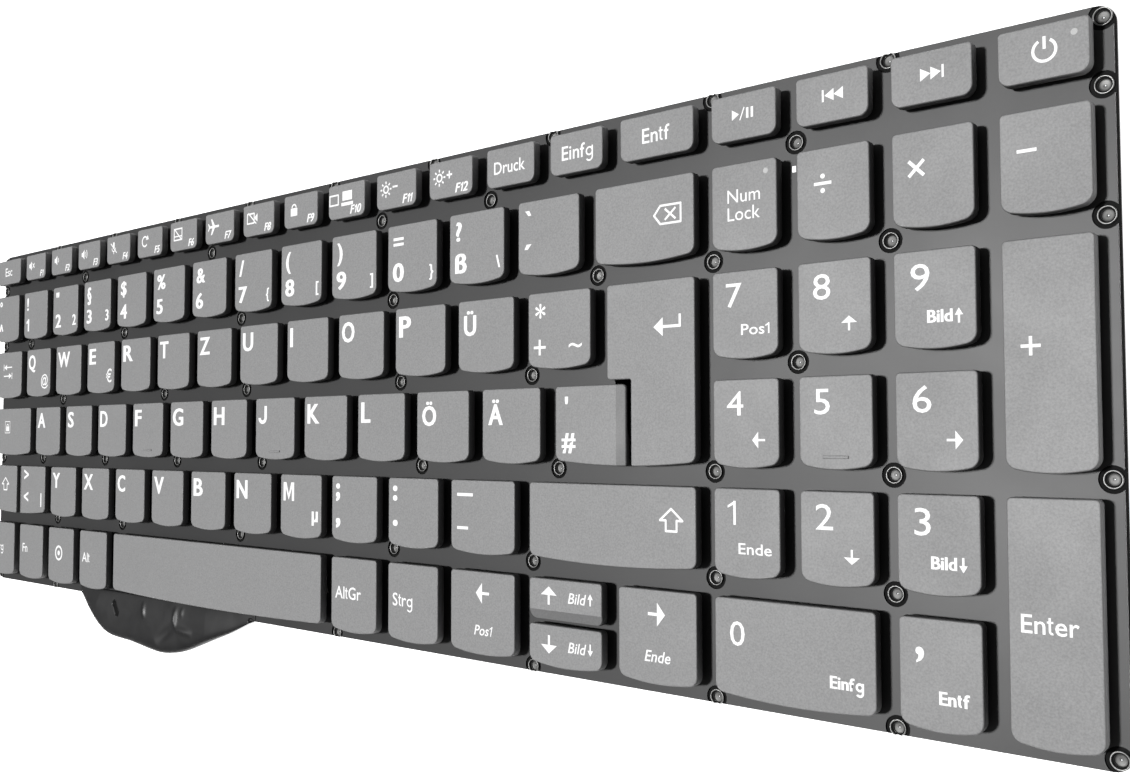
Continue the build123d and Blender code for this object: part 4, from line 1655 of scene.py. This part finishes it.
def distance_to_line(place: Vector, start: Point, end: Point) -> float:
    """Distance in plan from a place to a straight stretch."""
    a, b = Vector(start), Vector(end)
    run = b - a
    share = max(0.0, min(1.0, (place - a).dot(run) / run.length_squared))
    return (place - a - run * share).length


@dataclass(frozen=True)
class Crease:
    """Straight ridge, or valley where its height is negative, that fades out at its ends."""

    start: Point
    end: Point
    width: float
    height: float

    def rise(self, place: Vector) -> float:
        """Height that the crease adds at a place in plan."""
        a, b = Vector(self.start), Vector(self.end)
        share = (place - a).dot(b - a) / (b - a).length_squared
        fade = math.sin(math.pi * max(0.0, min(1.0, share)))
        far = distance_to_line(place, self.start, self.end) / self.width
        return self.height * fade * math.exp(-(far ** 2))


@dataclass(frozen=True)
class Pit:
    """Slot with round ends that is sunk into the tail in plan; its floor is painted black as painted shade.
    """

    start: Point
    end: Point
    radius: float
    depth: float

    def holds(self, place: Vector, rim: float = 0.0) -> bool:
        """True at a place in plan that lies in the slot or on a rim round it."""
        return distance_to_line(place, self.start, self.end) < self.radius + rim

    def rise(self, place: Vector) -> float:
        """Height, below zero, that the slot adds at a place in plan."""
        return -self.depth if self.holds(place) else 0.0


@dataclass
class FilmTail:
    """Tail of the film, which bulges out in front of the plate and is folded back under itself.

    The edge points are in plan, from the left root to the right one. No vertex lies further than largest_step
    from the middle of those next to it.
    """

    edge: tuple[Point, ...] = (
        (-114.1, -51.6), (-107.4, -57.5), (-98.7, -62.3), (-85.0, -63.4), (-72.1, -64.6), (-64.7, -64.1),
        (-57.5, -62.5), (-46.1, -58.6), (-37.4, -55.6), (-27.7, -51.7),
    )
    creases: tuple[Crease, ...] = (
        Crease((-78.6, -51.6), (-77.4, -56.2), 0.75, 0.5),
        Crease((-62.5, -51.4), (-62.0, -57.4), 0.8, 0.75),
        Crease((-59.4, -51.4), (-59.0, -54.2), 0.7, 0.4),
        Crease((-62.5, -57.0), (-53.5, -57.9), 0.9, 0.4),
        Crease((-61.5, -56.0), (-71.4, -62.0), 1.5, -0.5),
    )
    pits: tuple[Pit, ...] = (
        Pit((-93.7, -53.5), (-91.6, -56.0), 0.65, 0.5), Pit((-29.7, -52.15), (-29.2, -52.2), 0.55, 0.4),
    )
    painted_shade_rim: float = 0.3
    columns: int = 260
    rows: int = 60
    thickness: float = 0.16
    fold_share: float = 0.86
    fold_reach: float = 0.4
    fold_drop: float = 0.16
    fold_rate: float = 4.0
    lap: float = 2.0
    bulge: float = 1.1
    bulge_powers: Point = (0.9, 0.8)
    sink_span: Point = (0.55, 0.45)
    crease_power: float = 0.5
    low: float = 0.3
    full_reach: float = 7.0
    largest_step: float = 0.9

    def edge_at(self, share: float) -> Vector:
        """Point on the smooth edge at a share of its length, by a spline through the edge points."""
        place = share * (len(self.edge) - 1)
        i = min(int(place), len(self.edge) - 2)
        t = place - i
        a, b, c, d = (Vector(self.edge[max(0, min(len(self.edge) - 1, i + k))]) for k in (-1, 0, 1, 2))
        bend, twist = 2 * a - 5 * b + 4 * c - d, 3 * b - a - 3 * c + d
        return 0.5 * (2 * b + (c - a) * t + bend * t * t + twist * t ** 3)

    def height_at(self, place: Vector, share: float, reach: float) -> float:
        """Height of the upper layer.

        Args:
            place: place in plan.
            share: share of the way from the plate to the outer edge.
            reach: 1 where the tail reaches far out, 0 at its two ends.

        Returns:
            The height in millimetres.
        """
        start = FILM_TOP + self.thickness
        lean, crown = self.bulge_powers
        swell = self.bulge * reach * math.sin(math.pi * share ** lean) ** crown
        sink_start, sink_length = self.sink_span
        sink = (start - self.low) * reach * max(0.0, (share - sink_start) / sink_length) ** 2
        fade = math.sin(math.pi * share) ** self.crease_power
        pressed = sum(crease.rise(place) for crease in self.creases) * fade
        sunk = sum(pit.rise(place) for pit in self.pits)
        return max(self.low, start + swell - sink + pressed * reach) + sunk

    def surface(self, across: float, along: float) -> Vector:
        """Point of the tail.

        Args:
            across: share from the left root to the right one.
            along: 0 at the plate, fold_share at the outer edge, 1 at the end of the layer folded under.

        Returns:
            The point in millimetres.
        """
        edge = self.edge_at(across)
        left, right = self.edge[0][0], self.edge[-1][0]
        root = Vector((left + (right - left) * across, PLATE_LOW.y + self.lap))
        reach = max(0.0, min(1.0, (PLATE_LOW.y - edge.y) / self.full_reach))
        if along <= self.fold_share:
            share = along / self.fold_share
            place = root.lerp(edge, math.sin(share * math.pi / 2))
            return Vector((*place, self.height_at(place, min(share, 1.0), reach)))
        under = (along - self.fold_share) / (1 - self.fold_share)
        place = edge.lerp(root, self.fold_reach * under)
        place.y = min(place.y, max(edge.y, PLATE_LOW.y - self.thickness))
        top = self.height_at(edge, 1.0, reach)
        return Vector((*place, top - self.fold_drop * reach * min(1.0, under * self.fold_rate)))

    def build(self) -> None:
        """Build the tail as a sheet of the film's thickness, with its slot and its end hole."""
        tail = bmesh.new()
        bmesh.ops.create_grid(tail, x_segments=self.columns, y_segments=self.rows, size=0.5)
        for vert in tail.verts:
            vert.co = self.surface(vert.co.x + 0.5, 0.5 - vert.co.y)
        bmesh.ops.recalc_face_normals(tail, faces=tail.faces)
        bmesh.ops.solidify(tail, geom=tail.faces[:], thickness=self.thickness / 2)
        for vert in tail.verts:
            near = [edge.other_vert(vert).co for edge in vert.link_edges]
            middle = sum(near, Vector()) / len(near)
            if (vert.co - middle).length > self.largest_step:
                vert.co = middle
        bmesh.ops.recalc_face_normals(tail, faces=tail.faces)
        smooth_bevels(tail)
        # Faces in and round each slot take the black: painted shade.
        for face in tail.faces:
            place = face.calc_center_median().xy
            face.material_index = int(any(pit.holds(place, self.painted_shade_rim) for pit in self.pits))
        piece = make_piece(tail, "film_tail", (TAIL_DARK, SLOT_PAINTED_SHADE), BASE)
        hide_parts("membrane")
        LOG.info("%s built", piece.name)


# Mechanisms and small parts


@dataclass
class Mechanisms:
    """Scissor frames, domes and wires under the caps that travel, one piece per key."""

    margin: float = 0.02
    sources: tuple[tuple[str, int], ...] = (
        ("scissor_outer_frames", 0), ("scissor_inner_frames", 0),
        ("rubber_domes", 1), ("stabiliser_wires", 2),
    )

    def build(self, field_of_keys: KeyField) -> None:
        """Take the solids apart by key, one set of solids per key."""
        sets: dict[str, BMesh] = {}
        for node, finish in self.sources:
            for solid in islands(frame["nodes"][node].data):
                low, high = shape_box(solid)
                owner = self._owner(field_of_keys, (low + high) / 2 / MM)
                for face in solid.faces:
                    face.material_index = finish
                join_shapes(sets.setdefault(owner, bmesh.new()), solid)
        for owner, shape in sets.items():
            name = owner.replace("key_", "mechanism_")
            piece = make_piece(shape, name, (SCISSOR_BLACK, DOME_RUBBER, WIRE_STEEL), BASE, 1.0)
            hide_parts(*(node for node, _ in self.sources))
            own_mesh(piece)
        LOG.info("mechanisms under %d caps", len(sets))

    def _owner(self, field_of_keys: KeyField, middle: Vector) -> str:
        """Key above a point."""
        for node in field_of_keys.keys:
            low, high = cad_box(node)
            if low.x < middle.x < high.x and low.y < middle.y < high.y and not self._beside_leg(node, middle):
                return node
        raise ValueError(f"no key above {middle}")

    def _beside_leg(self, node: str, middle: Vector) -> bool:
        """True where a point lies in the return key's box but under the key beside its leg."""
        beside = cad_box("key_hash")[1]
        return node == "key_enter" and middle.x < beside.x and middle.y < beside.y


@dataclass
class SmallParts:
    """Light windows in two caps and the stiffener of the tail."""

    radius: float = 0.48
    segments: int = 24
    proud: float = 0.03
    edge: float = 0.06
    edge_segments: int = 2
    windows: tuple[tuple[str, str], ...] = (("num_lock_light", "key_num_lock"), ("power_light", "key_power"))

    def build(self, field_of_keys: KeyField) -> None:
        """Build round windows and dress the stiffener."""
        for node, key in self.windows:
            low, high = cad_box(node)
            middle = (low + high) / 2
            window = bmesh.new()
            height = high.z - low.z + self.proud
            bmesh.ops.create_cone(
                window, cap_ends=True, segments=self.segments, radius1=self.radius, radius2=self.radius,
                depth=height, matrix=Matrix.Translation((middle.x, middle.y, low.z + height / 2)),
            )
            soften(window, rim_edges(window), self.edge, self.edge_segments)
            body = field_of_keys.keys[key].body
            piece = make_piece(window, f"{node}_window", (LIGHT_CLEAR,), body)
            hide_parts(node)
        stiffener = frame["nodes"]["tail_stiffener"]
        stiffener.data.materials.clear()
        stiffener.data.materials.append(STIFFENER_BLUE.material())
        LOG.info("light windows and stiffener dressed")


# Studio


@dataclass
class Studio:
    """Pale floor, soft light and the camera at the photograph's angle."""

    floor_size: float = 60.0
    floor_cells: int = 8
    floor_drop: float = 0.02
    horizon: float = 0.05
    zenith: float = 0.2
    sky_band: Point = (0.05, 0.8)
    lamp_way: Triple = (0.29, -0.04, -0.95)
    lamp_power: float = 3.05
    lamp_spread: float = 7.0
    eye: Triple = (206.66, -7.39, 164.05)
    target: Triple = (73.59, 2.20, 4.1)
    roll: float = 0.00154
    lens: float = 35.58
    sensor: float = 36.0
    near: float = 0.005

    def build(self) -> None:
        """Set up floor, lights, camera and tone."""
        self._floor()
        self._sky()
        self._lamp()
        self._camera()
        tone = bpy.context.scene.view_settings
        tone.view_transform, tone.look = "Standard", "None"
        LOG.info("studio set")

    def _lamp(self) -> None:
        """Distant lamp, high up to the left and a little behind."""
        lamp = bpy.data.lights.new("high_lamp", "SUN")
        lamp.energy, lamp.angle = self.lamp_power, math.radians(self.lamp_spread)
        holder = add_object("high_lamp", lamp)
        holder.rotation_mode = "QUATERNION"
        holder.rotation_quaternion = Vector(self.lamp_way).to_track_quat("-Z", "Y")

    def _floor(self) -> None:
        """Wide flat floor a hair under the plate."""
        shape = bmesh.new()
        cells = self.floor_cells
        bmesh.ops.create_grid(shape, x_segments=cells, y_segments=cells, size=self.floor_size / 2)
        bmesh.ops.translate(shape, vec=(0, 0, -self.floor_drop * MM), verts=shape.verts)
        mesh = mesh_of(shape, "floor")
        mesh.materials.append(FLOOR_PALE.material())
        floor = add_object("floor", mesh)
        floor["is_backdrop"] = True

    def _sky(self) -> None:
        """Dim white sky that brightens from the horizon to the zenith."""
        world = bpy.data.worlds.new("studio")
        world.use_nodes = True
        graph = Graph(world.node_tree)
        way = graph.add("ShaderNodeTexCoord").outputs["Generated"]
        height = graph.add("ShaderNodeSeparateXYZ", Vector=way).outputs["Z"]
        low, high = self.sky_band
        strength = graph.add(
            "ShaderNodeMapRange", Value=height, From_Min=low, From_Max=high, To_Min=self.horizon,
            To_Max=self.zenith,
        )
        background = world.node_tree.nodes["Background"]
        graph.feed(background, Color=(1, 1, 1, 1), Strength=strength.outputs[0])
        bpy.context.scene.world = world

    def _camera(self) -> None:
        """Camera at the place and turn of the photograph's."""
        lens = bpy.data.cameras.new("camera")
        lens.lens, lens.sensor_width, lens.sensor_fit = self.lens, self.sensor, "HORIZONTAL"
        lens.clip_start = self.near
        camera = add_object("camera", lens)
        eye, target = Vector(self.eye) * MM, Vector(self.target) * MM
        forward = (target - eye).normalized()
        right = forward.cross(Vector((0, 1, 0))).normalized()
        down = forward.cross(right)
        turn_x = right * math.cos(self.roll) + down * math.sin(self.roll)
        turn_y = right * math.sin(self.roll) - down * math.cos(self.roll)
        turn = Matrix((turn_x, turn_y, -forward)).transposed().to_4x4()
        turn.translation = eye
        camera.matrix_world = turn
        bpy.context.scene.camera = camera


def write_sizes() -> None:
    """Gather the CAD box and the box of the dressed model, without keeping them."""
    boxes = {"cad": CAD_BOX, "visual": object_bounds()}
    {name: [list(corner) for corner in box] for name, box in boxes.items()}


def main() -> None:
    """Build every sub-assembly in order."""
    logging.basicConfig(level=logging.INFO, format="%(name)s: %(message)s")
    keys = KeyField()
    keys.read()
    keys.build(CapShaper())
    Legends().build(keys)
    places = FixingPlaces()
    places.read()
    SheetStack(places).build()
    FixingBosses(places).build()
    FilmTail().build()
    Mechanisms().build(keys)
    SmallParts().build(keys)
    Studio().build()
    write_sizes()


if __name__ == "__main__":
    main()
